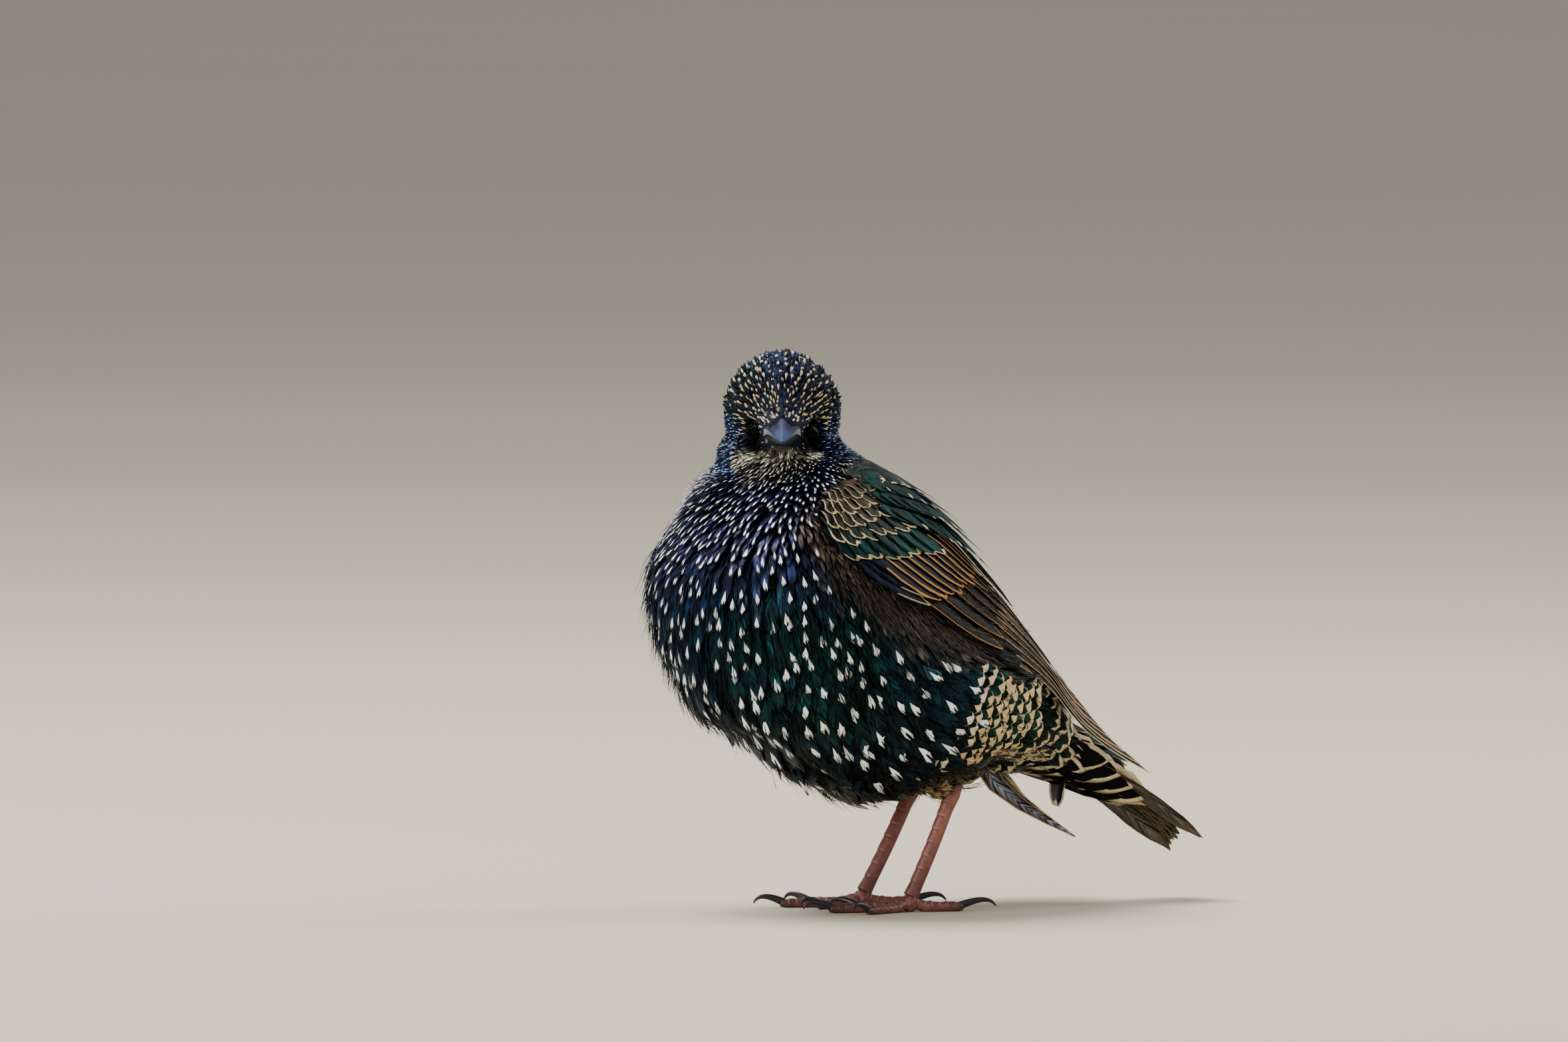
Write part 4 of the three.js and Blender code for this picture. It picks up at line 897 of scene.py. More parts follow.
# Each tier: count, width, height and lean, roots and tips as shares from its lowest feather to its
# highest, how far the tips stand out, shape, ground, rim colour, width and reach back from the
# tip, heart length and half width, and gloss.
WING_TIERS = (
    (9, (6.5, 7), (0.0, 1.0), 0.10, ((0.36, 0.06), (0.34, 0.60)), ((1.0, 0.12), (0.76, 0.80)), 0,
     BLADE, UMBER, STRAW, 0.42, 60, 0, 0, 0.03),
    (6, (7, 8), (0.7, 1.2), 0.20, ((0.2, 0.12), (0.2, 0.62)), ((0.505, 0.02), (0.52, 0.50)), 0,
     BLADE, SOOT * 1.3, RUST * 0.8, 0.4, 60, 0, 0, 0.05),
    (3, (9, 9), (1.3, 1.7), 0.20, ((0.2, 0.55), (0.18, 0.86)), ((0.46, 0.42), (0.56, 0.70)), 0.2,
     POINTED, SOOT, RUST * 0.9, 0.5, 60, 0, 0, 0.10),
    (10, (6, 6.5), (1.7, 1.8), 0.24, ((0.14, 0.14), (0.22, 0.62)), ((0.325, 0.06), (0.43, 0.50)), 0,
     ROUND, SOOT * 0.7, RUST * 1.05, 0.65, 40, 0, 0, 0.05),
    (3, (6, 6), (1.9, 2.1), 0.16, ((0.08, 0.0), (0.12, 0.08)), ((0.31, 0.0), (0.30, 0.09)), 0,
     BLADE, SLATE, STRAW * 0.6, 0.4, 12, 0, 0, 0.15),
    (8, (7, 8), (2.2, 2.1), 0.16, ((0.06, 0.0), (0.17, 0.52)), ((0.165, -0.02), (0.31, 0.40)), 0.3,
     ROUND, MOSS * 1.3, STRAW, 0.5, 5, 1.8, 3.0, 0.3),
    (8, (6, 6.5), (2.6, 2.4), 0.12, ((0.04, 0.02), (0.12, 0.54)), ((0.125, -0.02), (0.25, 0.46)), 0.2,
     ROUND, MOSS * 0.8 + UMBER * 0.2, STRAW, 0.5, 6, 1.0, 3.0, 0.15),
    (8, (5.5, 6), (2.9, 2.7), 0.12, ((0.03, 0.05), (0.08, 0.56)), ((0.09, 0.0), (0.20, 0.50)), 0.2,
     ROUND, UMBER * 0.5 + MOSS * 0.4, STRAW * 0.9, 0.5, 6, 0.9, 3.0, 0.1),
    (7, (5, 5.5), (3.1, 2.9), 0.12, ((0.01, 0.12), (0.04, 0.58)), ((0.065, 0.06), (0.16, 0.54)), 0.2,
     ROUND, UMBER * 0.55, STRAW * 0.85, 0.45, 6, 0.8, 3.0, 0.06),
    (6, (4.5, 5), (3.2, 3.1), 0.12, ((0.0, 0.22), (0.01, 0.62)), ((0.045, 0.18), (0.12, 0.58)), 0.2,
     ROUND, UMBER * 0.55, STRAW * 0.8, 0.4, 6, 0.7, 3.0, 0.06),
    (9, (7, 8), (2.9, 2.4), 0.10, ((0.10, 0.52), (0.30, 0.92)), ((0.24, 0.46), (0.48, 0.66)), 1.4,
     POINTED, MOSS, CREAM, 0.0, 2, 2.4, 1.5, 0.3),
    (9, (7, 8), (3.1, 2.6), 0.10, ((0.06, 0.60), (0.25, 0.98)), ((0.19, 0.53), (0.44, 0.78)), 2.4,
     POINTED, MOSS, CREAM, 0.0, 2, 2.4, 1.5, 0.3),
    (9, (7, 8), (3.1, 2.7), 0.10, ((0.03, 0.68), (0.20, 1.02)), ((0.14, 0.60), (0.40, 0.88)), 2.6,
     POINTED, MOSS, CREAM, 0.0, 2, 2.2, 1.5, 0.3),
    (9, (6, 7), (2.7, 2.4), 0.10, ((0.02, 0.72), (0.14, 1.06)), ((0.10, 0.66), (0.33, 0.97)), 2.6,
     POINTED, MOSS * 0.6 + EARTH * 0.3, STRAW, 0.4, 3, 2.0, 1.3, 0.2),
    (9, (5.5, 6.5), (1.9, 1.8), 0.10, ((0.0, 0.78), (0.08, 1.10)), ((0.07, 0.74), (0.26, 1.05)), 1.2,
     POINTED, MOSS * 0.5 + EARTH * 0.4, STRAW, 0.4, 3, 1.8, 1.2, 0.2),
    (8, (5, 6), (1.2, 1.0), 0.10, ((-0.02, 0.84), (0.03, 1.12)), ((0.04, 0.80), (0.18, 1.10)), 0.4,
     POINTED, MOSS * 0.4 + EARTH * 0.5, STRAW, 0.4, 3, 1.6, 1.1, 0.2),
)
WING_COLUMNS = 9


def spread(ends, share):
    return ends[0] + (ends[1] - ends[0]) * share


def atlas(count):
    """The corner of a cell of its own for each feather, and the cell's size."""
    across = math.ceil(math.sqrt(count))
    i = np.arange(count)
    return np.stack([(i % across) / across, (i // across) / across], 1), 0.9 / across


def join_made(parts):
    """Several batches of feathers as one."""
    points, faces, flats, rims, start = [], [], [], [], 0
    for p, t, flat, rim in parts:
        faces.append(t + start)
        start += p.shape[0] * p.shape[1]
        points.append(p.reshape(-1, 3))
        flats.append(flat.reshape(-1, 2))
        rims.append(rim.reshape(-1, 2))
    return np.concatenate(points), np.concatenate(faces), np.concatenate(flats), np.concatenate(rims)


def stiff_feathers(name, batches, material, underside):
    """Flight feathers and coverts in one object. Each has its own cell of the map for baking."""
    points, faces, flats, rims = join_made([made for made, _ in batches])
    obj = mesh_object(name, points, faces, material)
    add_map(obj, "Vane", flats, faces)
    add_map(obj, "Rim", rims, faces)
    sizes = [(made[0].shape[0], made[0].shape[1]) for made, _ in batches]
    cells, cell = atlas(sum(count for count, _ in sizes))
    owner = np.repeat(np.arange(len(cells)), np.concatenate([[per] * count for count, per in sizes]))
    widest = np.array([np.abs(f).max(0) for made, _ in batches for f in made[2]])
    place = flats / np.maximum(widest[owner], 1e-6) * [0.5, 1] + [0.5, 0]
    add_map(obj, "OFBake", cells[owner] + place * cell + 0.002, faces)
    rows = np.concatenate([[per // (WING_COLUMNS + 1)] * (count * per) for count, per in sizes])
    index = np.concatenate([np.tile(np.arange(per), count) for count, per in sizes])
    beneath = index >= rows * WING_COLUMNS
    for key in ("Ground", "Spot", "Pale"):
        each = np.concatenate([looks[key] for _, looks in batches])[owner]
        if key == "Ground":
            each[beneath, :3] = underside
        if key == "Spot":
            each[beneath] = 0
        add_colours(obj, key, each)
    return obj


def plain_looks(count, rng, ground, pale, rim, heart, gloss):
    """Looks of like feathers, each a little lighter or darker."""
    vary = rng.uniform(0.7, 1.35, (count, 1))
    ones = rng.uniform(0, 1, (count, 1))
    spot = np.tile([*heart, rim[0]], (count, 1)) / 10 * rng.uniform(0.85, 1.15, (count, 1))
    return {
        "Ground": np.concatenate([ground * vary, ones], 1),
        "Spot": np.concatenate([spot, np.full((count, 1), rim[1] / 10)], 1),
        "Pale": np.concatenate([np.tile(pale, (count, 1)) * vary**0.4, np.full((count, 1), gloss)], 1),
    }


def wing_tier(side, lines, tier, rng):
    """One row of feathers on the wing, each from its root to its tip over the bed."""
    count, width, height, lean, root, tip, stand, shape, ground, pale, rim, back, heart, half, gloss = tier
    order = np.linspace(0, 1, count)
    rows = np.linspace(0, 1, len(shape))
    jitter = rng.uniform(-1, 1, (count, 4))
    start = spread(np.array(root), order[:, None])
    end = spread(np.array(tip), order[:, None]) + jitter[:, :2] * [0.008, 0.008]
    along = np.minimum(start[:, :1] + (end - start)[:, :1] * rows, 1.0)
    across = start[:, 1:] + (end - start)[:, 1:] * rows
    places, normals, upward = wing_frame(side, lines, along, across)
    high = spread(height, order)[:, None]
    sunk = (high + 1.0) * np.maximum(0, 1 - rows * 2.5) ** 1.3
    lift = high * (1 - (0.25 if shape is BLADE else 0) * rows**3) - sunk + jitter[:, 2:3] * 0.1
    lift = lift + stand * (0.5 + 0.5 * np.abs(jitter[:, 3:])) * order[:, None] * rows**2
    places = places + normals * lift[..., None]
    normals = unit(normals + upward * lean)
    outline = spread(width, order)[:, None] / 2 * np.array(shape) * (1 + 0.04 * jitter[:, 2:3])
    ragged = np.full(count, 0.04 if shape is BLADE else 0.25)
    arch = 0.16 / spread(width, order)
    made = vanes(places, normals, outline, WING_COLUMNS, arch, np.full(count, 0.22), ragged, rng)
    return made, plain_looks(count, rng, ground, pale, (rim, back), (heart, half), gloss)


def wing_arm(side, lines, rng):
    """Small dark feathers over the arm under the tiers, so that no gap shows through."""
    along, across = np.meshgrid(np.linspace(0.02, 0.5, 9), np.linspace(0.1, 0.9, 7))
    along, across = along.ravel(), across.ravel()
    rows = np.linspace(0, 1, len(ROUND))
    line = along[:, None] + 0.13 * rows
    places, normals, _ = wing_frame(side, lines, line, across[:, None] + 0 * rows)
    places = places + normals * (0.2 - 0.6 * (1 - rows))[:, None]
    count = len(along)
    outline = np.full((count, 1), 6.0) * np.array(ROUND)
    made = vanes(places, normals, outline, WING_COLUMNS, np.full(count, 0.01), np.full(count, 0.6), np.full(count, 0.1), rng)
    return made, plain_looks(count, rng, SOOT, BUFF, (0, 0), (0, 0), 0.05)


flight_material = feather_material("flight_feathers", 0.42, 0.0001, 0.14)
for side, label in ((1, "left"), (-1, "right")):
    wing_rng = np.random.default_rng(7)
    bed = wing_lines(side)
    batches = [wing_arm(side, bed, wing_rng)] + [wing_tier(side, bed, tier, wing_rng) for tier in WING_TIERS]
    wing = stiff_feathers(f"wing_feathers_{label}", batches, flight_material, paint(128, 136, 152))
    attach(wing, "root")
    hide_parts(f"wing_{label}")

# Tail. Twelve stiff feathers, the middle pair on top, notched at the end, with rows of coverts over
# and under their roots. The ones below are black with broad buff-white edges.
TAIL = {"forward": -38, "up": 44.5, "slope": 28.5, "roll": 15, "length": 58, "arch": 3}
TAIL_ROOT = {"to": 42, "half": 8, "over": (7.5, 0.4, 0.8), "under": (9.5, 1.5, 1.6)}
tail_matrix = (Matrix.Translation((0, -TAIL["forward"], TAIL["up"]))
               @ Matrix.Rotation(math.radians(-TAIL["slope"]), 4, "X")
               @ Matrix.Rotation(math.radians(-TAIL["roll"]), 4, "Y"))
tail_axes = np.array(tail_matrix.to_3x3())


def on_tail(along, left, up):
    arch = TAIL["arch"] * np.sin(np.pi * np.clip(along / TAIL["length"], 0, 1))
    local = np.stack(np.broadcast_arrays(left, along, up + arch), -1)
    return local @ tail_axes.T + np.array(tail_matrix.translation) + SHIFT


def tail_depth(side, along, across):
    """How thick the root of the tail is above or below it."""
    start, end, curve = TAIL_ROOT["over"] if side > 0 else TAIL_ROOT["under"]
    share = np.clip(along / TAIL_ROOT["to"], 0, 1)
    bulge = np.sqrt(np.maximum(0, 1.1 - (across / (TAIL_ROOT["half"] * 1.15)) ** 2))
    return (start + (end - start) * share**curve) * bulge


def tail_batch(starts, ends, width, shape, lean, looks, rng, side=1, follow=False):
    """Feathers of the tail from places in the tail's frame, laid over its root where they follow it."""
    rows = np.linspace(0, 1, len(shape))
    spots = starts[:, None] + (ends - starts)[:, None] * rows[None, :, None]
    if follow:
        height = side * (tail_depth(side, spots[..., 0], spots[..., 1]) - 0.8 + 2.2 * (side > 0))
        spots[..., 2] = height + side * (rows * 1.3 - 0.8)
    places = on_tail(spots[..., 0], spots[..., 1], spots[..., 2])
    normal = np.broadcast_to(tail_axes[:, 2] * side, places.shape)
    aside = np.broadcast_to(tail_axes[:, 0], places.shape)
    normal = unit(normal + aside * lean[:, None, None])
    count = len(starts)
    outline = width[:, None] / 2 * np.array(shape)
    made = vanes(places, normal, outline, WING_COLUMNS, np.full(count, 0.02), np.full(count, 0.22),
                 np.full(count, 0.05 if shape is BLADE else 0.2), rng)
    return made, plain_looks(count, rng, *looks)


tail_rng = np.random.default_rng(11)
half_way = np.linspace(-1, 1, 12)
reach = TAIL["length"] - 3 * (1 - np.abs(half_way)) - tail_rng.uniform(0, 1, 12)
drop = -3.0 * np.abs(half_way)
rectrices = tail_batch(np.stack([8 + 0 * reach, half_way * 4.5, drop * 0.4], 1),
                       np.stack([reach, half_way * 7.6, drop], 1), np.full(12, 8.4),
                       [0.3, 0.5, 0.68, 0.82, 0.92, 1.0, 1.0, 1.0, 0.97, 0.88, 0.66, 0.15],
                       0.09 * half_way, (UMBER * 0.9, paint(150, 134, 110), (0.25, 60), (0, 0), 0.04), tail_rng)
batches = [rectrices]
CHEVRON = paint(206, 192, 158)
TAIL_COVERTS = (
    (1, 5, 12, 34, 5.0, 9.5, MOSS * 0.7, STRAW * 0.7, 0.5),
    (1, 5, 5, 27, 6.5, 9.5, MOSS * 0.7, STRAW * 0.7, 0.5),
    (1, 5, -1, 20, 7.5, 9.0, MOSS * 0.7, STRAW * 0.7, 0.5),
    (-1, 4, 20, 43, 4.5, 9.5, SOOT * 0.25, CHEVRON, 1.3),
    (-1, 5, 14, 37.5, 6.5, 9.5, SOOT * 0.25, CHEVRON, 1.3),
    (-1, 6, 8, 32, 8.5, 9.5, SOOT * 0.25, CHEVRON, 1.25),
    (-1, 7, 3, 26.5, 9.5, 9.0, SOOT * 0.25, CHEVRON, 1.2),
    (-1, 7, -2, 21, 10.0, 9.0, SOOT * 0.25, CHEVRON, 1.15),
    (-1, 7, -7, 15.5, 10.5, 8.5, SOOT * 0.25, CHEVRON, 1.1),
)
for side, count, root, tip, aside, width, ground, pale, rim in TAIL_COVERTS:
    order = np.linspace(-1, 1, count)
    tips = tip - 4 * order**2 + tail_rng.uniform(-1.2, 1.2, count)
    starts = np.stack([np.full(count, root), order * aside * 0.75, 0 * order], 1)
    ends = np.stack([tips, order * aside, 0 * order], 1)
    batches.append(tail_batch(starts, ends, np.full(count, width), POINTED, (1.3 if side < 0 else 0.7) * order,
                              (ground, pale, (rim, 9), (0, 0), 0.1), tail_rng, side, True))
tail = stiff_feathers("tail_feathers", batches, flight_material, paint(84, 76, 68))
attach(tail, "root")
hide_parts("tail")

# Eyes and lids. Dark brown glossy eyes look out and a little ahead, each in a ring of finely
# wrinkled black skin.
EYE_BALL = {"radius": 3.1, "in": 0.8, "ahead": 0.55}
LID = {"open": 47.0, "thick": 0.42, "folds": 34}


def grid_faces(rows, columns, wrap):
    """Triangles over a grid of points, wrapped round its columns or not."""
    i, j = np.meshgrid(np.arange(rows - 1), np.arange(columns if wrap else columns - 1), indexing="ij")
    a, b = (i * columns + j).ravel(), (i * columns + (j + 1) % columns).ravel()
    return np.concatenate([np.stack([a, b, b + columns], 1), np.stack([a, b + columns, a + columns], 1)])


def outward(points, faces):
    """The faces turned so that the closed mesh has its outside out."""
    c = points[faces]
    volume = (np.cross(c[:, 0], c[:, 1]) * c[:, 2]).sum()
    return faces if volume > 0 else faces[:, ::-1]


def closed_tube(rings):
    """Points and faces of rings of points, closed at both ends."""
    rows, sides = rings.shape[:2]
    points = np.concatenate([rings.reshape(-1, 3), rings[:1].mean(1), rings[-1:].mean(1)])
    j = np.arange(sides)
    k = (j + 1) % sides
    last = (rows - 1) * sides
    caps = np.concatenate([np.stack([k, j, np.full(sides, rows * sides)], 1),
                           np.stack([last + j, last + k, np.full(sides, rows * sides + 1)], 1)])
    faces = np.concatenate([grid_faces(rows, sides, True), caps])
    return points, outward(points - points.mean(0), faces)


def frame_round(axis):
    """Two directions square to an axis and to each other."""
    side = unit(np.cross(axis, [0.0, 0.0, 1.0]))
    return side, np.cross(side, axis)


def on_head(ahead, out, up):
    a, o, u = head_axes()
    return (SHIFT + HEAD_PLACE + np.asarray(ahead)[..., None] * a
            + np.asarray(out)[..., None] * o + np.asarray(up)[..., None] * u)


eye_material, tree, shader = new_material("eye_wet")
ground = add_node(tree, "ShaderNodeAttribute", attribute_name="Ground")
fibres = add_node(tree, "ShaderNodeTexNoise", {
    "Vector": add_node(tree, "ShaderNodeTexCoord").outputs["Object"], "Scale": 2600.0, "Detail": 2.0})
tree.links.new(blend(tree, sums(tree, "MULTIPLY", fibres.outputs[0], 0.5), ground.outputs["Color"],
                     (0.002, 0.0015, 0.001, 1)), shader.inputs["Base Color"])
shader.inputs["Roughness"].default_value = 0.3
shader.inputs["Specular IOR Level"].default_value = 0.05
shader.inputs["Coat Weight"].default_value = 0.08
shader.inputs["Coat Roughness"].default_value = 0.02
lid_material, tree, shader = new_material("lid_skin")
lumps = add_node(tree, "ShaderNodeTexVoronoi", {
    "Vector": add_node(tree, "ShaderNodeTexCoord").outputs["Object"], "Scale": 3000.0})
tree.links.new(blend(tree, lumps.outputs["Distance"], (0.0008, 0.0008, 0.001, 1), (0.003, 0.003, 0.004, 1)),
               shader.inputs["Base Color"])
shader.inputs["Roughness"].default_value = 0.5
shader.inputs["Specular IOR Level"].default_value = 0.06
bump = add_node(tree, "ShaderNodeBump", {"Height": lumps.outputs["Distance"], "Strength": 0.6, "Distance": 0.0001})
tree.links.new(bump.outputs[0], shader.inputs["Normal"])
for side, label in ((1, "left"), (-1, "right")):
    a, o, u = head_axes()
    look = unit(EYE_BALL["ahead"] * a + side * o)
    centre = on_head(EYE["ahead"], side * EYE["out"], EYE["up"]) - look * EYE_BALL["in"]
    across, over = frame_round(look)
    polar, around = np.linspace(0.02, math.pi - 0.02, 30), np.linspace(0, 2 * math.pi, 40, endpoint=False)
    bulge = EYE_BALL["radius"] + 0.25 * np.exp(-(polar / 0.5) ** 2)
    ring = across * np.cos(around)[:, None] + over * np.sin(around)[:, None]
    rings = centre + (look * np.cos(polar)[:, None, None] + ring * np.sin(polar)[:, None, None]) * bulge[:, None, None]
    points, faces = closed_tube(rings)
    eye = mesh_object(f"eyeball_{label}", points, faces, eye_material)
    angle = np.degrees(np.arccos(np.clip(unit(points - centre) @ look, -1, 1)))
    iris = smooth(angle, 20, 23) * smooth(angle, 46, 42)
    add_colours(eye, "Ground", np.concatenate([np.outer(iris, [0.0016, 0.001, 0.0008]) + 0.0004,
                                               np.ones((len(points), 1))], 1))
    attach(eye, "root")
    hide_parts(f"eye_{label}")
    turns = np.linspace(0, 2 * math.pi, 180, endpoint=False)
    section = np.linspace(0, 2 * math.pi, 14, endpoint=False)
    middle = math.radians(LID["open"])
    lids = []
    for t in turns:
        out_way = across * math.cos(t) + over * math.sin(t)
        ridge = look * math.cos(middle) + out_way * math.sin(middle)
        along_lid = look * -math.sin(middle) + out_way * math.cos(middle)
        fold = 1 + 0.10 * math.sin(LID["folds"] * t)
        lids.append(centre + ridge * (EYE_BALL["radius"] + 0.12)
                    + (ridge * np.cos(section)[:, None] * 0.5 + along_lid * np.sin(section)[:, None])
                    * LID["thick"] * fold)
    lids = np.array(lids)
    faces = grid_faces(len(turns), len(section), True)
    i = (len(turns) - 1) * len(section)
    j = np.arange(len(section))
    k = (j + 1) % len(section)
    faces = np.concatenate([faces, np.stack([i + j, i + k, k], 1), np.stack([i + j, k, j], 1)])
    flat = lids.reshape(-1, 3)
    lid = mesh_object(f"lid_{label}", flat, outward(flat - flat.mean(0), faces), lid_material)
    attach(lid, "root")

# Bill. A slim blue-grey horn sheath over bone, flattened, with a ridge along the top, a groove with
# the nostril at each side of it and a pale line along the gape. A lighter tone along the ridge is a
# painted highlight, and the darker grooves and nostrils are painted shade.
BILL = {"root": 10.5, "tip": 38.0, "gape": -5.0, "drop": 1.1, "half": 4.7, "over": 2.9, "under": 2.9}
NOSTRIL = {"ahead": 16.6, "out": 2.5, "long": 1.5, "high": 0.75, "deep": 0.9}
HORN, HORN_DARK_AND_SHADE, HORN_PALE = paint(40, 60, 98), paint(8, 14, 40), paint(184, 192, 200)
HORN_PAINTED_HIGHLIGHT = paint(92, 96, 108)


def mixed_one(a, share, b):
    return a * (1 - share) + b * share


horn_material, tree, shader = new_material("bill_horn")
ground = add_node(tree, "ShaderNodeAttribute", attribute_name="Ground")
place = add_node(tree, "ShaderNodeTexCoord").outputs["Object"]
stretch = add_node(tree, "ShaderNodeMapping", {"Vector": place, "Rotation": (0, 0, HEAD_TURN), "Scale": (900, 120, 900)})
grain = add_node(tree, "ShaderNodeTexNoise", {"Vector": stretch.outputs[0], "Scale": 1.0, "Detail": 4.0})
shade = sums(tree, "MULTIPLY_ADD", grain.outputs[0], 0.9, 0.55)
dim = add_node(tree, "ShaderNodeCombineColor", {0: shade, 1: shade, 2: shade}).outputs[0]
tree.links.new(blend(tree, 1.0, ground.outputs["Color"], dim, "MULTIPLY"), shader.inputs["Base Color"])
tree.links.new(sums(tree, "MULTIPLY_ADD", grain.outputs[0], 0.2, 0.38), shader.inputs["Roughness"])
bump = add_node(tree, "ShaderNodeBump", {"Height": grain.outputs[0], "Strength": 0.35, "Distance": 0.0001})
tree.links.new(bump.outputs[0], shader.inputs["Normal"])


def bill_half(upper):
    """One half of the bill as points, faces and colours."""
    share = np.linspace(0, 1, 72)
    tip = BILL["tip"] - (0 if upper else 1)
    sides = 56
    theta = np.linspace(0, 2 * np.pi, sides, endpoint=False)
    arc, flat = np.sin(theta), np.cos(theta)
    rings, tones = [], []
    for s in share:
        ahead = BILL["root"] + (tip - BILL["root"]) * s
        half = BILL["half"] * ((1 - s) ** 0.85 * 0.93 + 0.07) * (1 if upper else 0.93)
        line = BILL["gape"] - BILL["drop"] * s**2 - 1.1 * math.exp(-((s / 0.16) ** 2))
        deep = (BILL["over"] if upper else BILL["under"] - 0.6 * math.exp(-((s / 0.16) ** 2)))
        deep = deep * ((1 - s**1.6) * 0.9 + 0.1) + (1.1 * math.exp(-((s / 0.16) ** 2)) if upper else -0.4 * (1 - s))
        x = np.sign(flat) * np.abs(flat) ** 0.8 * half
        flange = np.exp(-((arc / 0.3) ** 2)) * np.sign(flat) * 0.5 * math.exp(-((s / 0.2) ** 2))
        boxy = 0.7 - 0.35 * math.exp(-((s / 0.35) ** 2))
        hump = np.abs(arc) ** (boxy if upper else 1.15)
        y = np.where(arc > 0, hump * deep, arc * 0.25)
        over = (arc > 0.15) * upper
        crest = np.exp(-((x / (half * 0.24)) ** 2)) * over
        groove = np.exp(-(((np.abs(x) - half * 0.62) / (half * 0.25)) ** 2)) * math.exp(-((s / 0.36) ** 2)) * over
        pit = np.exp(-(((ahead - NOSTRIL["ahead"]) / NOSTRIL["long"]) ** 2)
                     - ((np.abs(x) - NOSTRIL["out"]) / NOSTRIL["high"]) ** 2) * over
        y = y + crest * 1.0 * (1 - s) ** 0.7 - groove * 0.9 - pit * NOSTRIL["deep"]
        up = line + (0.12 if upper else -0.12) + (y if upper else -y)
        rings.append(on_head(np.full(sides, ahead), x + flange, up))
        lip = np.exp(-((arc / 0.16) ** 2)) * (arc > -0.1) * (1 - s) ** 1.5 * upper
        far = float(smooth(s, 0.38, 0.78))
        base = mixed_one(HORN_DARK_AND_SHADE * 2, far, HORN) if upper else mixed_one(paint(58, 50, 56), s, HORN * 0.6)
        tone = np.tile(base, (sides, 1))
        # Lighter ridge: painted highlight. Darker grooves and nostril pits: painted shade.
        tone = mixed(tone, crest * 0.55 * (1 - 0.5 * s), HORN_PAINTED_HIGHLIGHT)
        tone = mixed(tone, np.clip(groove * 1.7 + pit * 1.5, 0, 0.97), HORN_DARK_AND_SHADE)
        tones.append(mixed(tone, lip * 0.85, HORN_PALE))
    points, faces = closed_tube(np.array(rings))
    tones = np.concatenate([*tones, tones[0][:1], tones[-1][:1]])
    return points, faces, np.concatenate([tones, np.ones((len(points), 1))], 1)


for upper, name in ((True, "bill_upper"), (False, "bill_lower")):
    points, faces, tones = bill_half(upper)
    bill = mesh_object("horn_" + name, points, faces, horn_material)
    add_colours(bill, "Ground", tones)
    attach(bill, "root")
    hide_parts(name)

# Legs. Slim reddish-brown shanks and toes in overlapping horny scutes, with soft pads below and
# long curved black claws. The feet stand on the floor with the toes spread.
LEG = {
    "left": {"side": 1, "ankle": (-11.4, 12.3, 29.5), "ball": (0, 11, 3.1)},
    "right": {"side": -1, "ankle": (-12.8, -12, 29.5), "ball": (2, -11, 3.1)},
}
TOES = (
    ("middle", 4, 21.5, 1.45, 7.0, 11),
    ("inner", -30, 15.5, 1.35, 6.2, 8),
    ("outer", 37, 16.5, 1.3, 6.0, 9),
    ("hind", 176, 14.0, 1.5, 8.6, 7),
)
FEET_TURN = -16.0
CLAW = {"root": 1.05, "tip": 0.2, "arch": 2.1, "sunk": 0.9}
SHANK = {"deep": 1.9, "wide": 1.45, "knob": 2.35, "scutes": 9}
REDDISH, DUSK, SCUTE_EDGE = paint(150, 98, 88), paint(66, 42, 40), paint(186, 150, 138)
scale_material, tree, shader = new_material("leg_scutes")
ground = add_node(tree, "ShaderNodeAttribute", attribute_name="Ground")
place = add_node(tree, "ShaderNodeTexCoord").outputs["Object"]
mottle = add_node(tree, "ShaderNodeTexNoise", {"Vector": place, "Scale": 700.0, "Detail": 5.0})
cells = add_node(tree, "ShaderNodeTexVoronoi", {"Vector": place, "Scale": 2200.0})
shade = sums(tree, "MULTIPLY_ADD", mottle.outputs[0], 1.1, 0.45)
dim = add_node(tree, "ShaderNodeCombineColor", {0: shade, 1: shade, 2: shade}).outputs[0]
tree.links.new(blend(tree, 1.0, ground.outputs["Color"], dim, "MULTIPLY"), shader.inputs["Base Color"])
tree.links.new(sums(tree, "MULTIPLY_ADD", mottle.outputs[0], 0.3, 0.3), shader.inputs["Roughness"])
bump = add_node(tree, "ShaderNodeBump", {"Height": cells.outputs["Distance"], "Strength": 0.35, "Distance": 0.00008})
tree.links.new(bump.outputs[0], shader.inputs["Normal"])
claw_material, tree, shader = new_material("claw_horn")
place = add_node(tree, "ShaderNodeTexCoord").outputs["Object"]
grain = add_node(tree, "ShaderNodeTexNoise", {"Vector": place, "Scale": 1500.0, "Detail": 3.0})
tree.links.new(blend(tree, grain.outputs[0], (0.010, 0.010, 0.012, 1), (0.05, 0.045, 0.045, 1)),
               shader.inputs["Base Color"])
shader.inputs["Roughness"].default_value = 0.3


def bent_tube(line, deep, wide, level, scutes, relief, sides=28):
    """A limb along a line, with scutes stepped across its front, and how far up each scute it is."""
    way = unit(np.gradient(line, axis=0))
    side = unit(np.cross(level, way))
    front = np.cross(way, side)
    run = np.concatenate([[0], np.cumsum(np.linalg.norm(np.diff(line, axis=0), axis=1))])
    phase = run / run[-1] * scutes % 1.0
    angle = np.linspace(0, 2 * np.pi, sides, endpoint=False)
    face_front = smooth(np.sin(angle), -0.25, 0.35)
    step = (phase**0.7 - 0.5)[:, None] * face_front * relief
    ring = (side[:, None] * (np.cos(angle) * (wide[:, None] + step))[..., None]
            + front[:, None] * (np.sin(angle) * (deep[:, None] + step))[..., None])
    return line[:, None] + ring, phase[:, None] * face_front + (1 - face_front) * 0.5


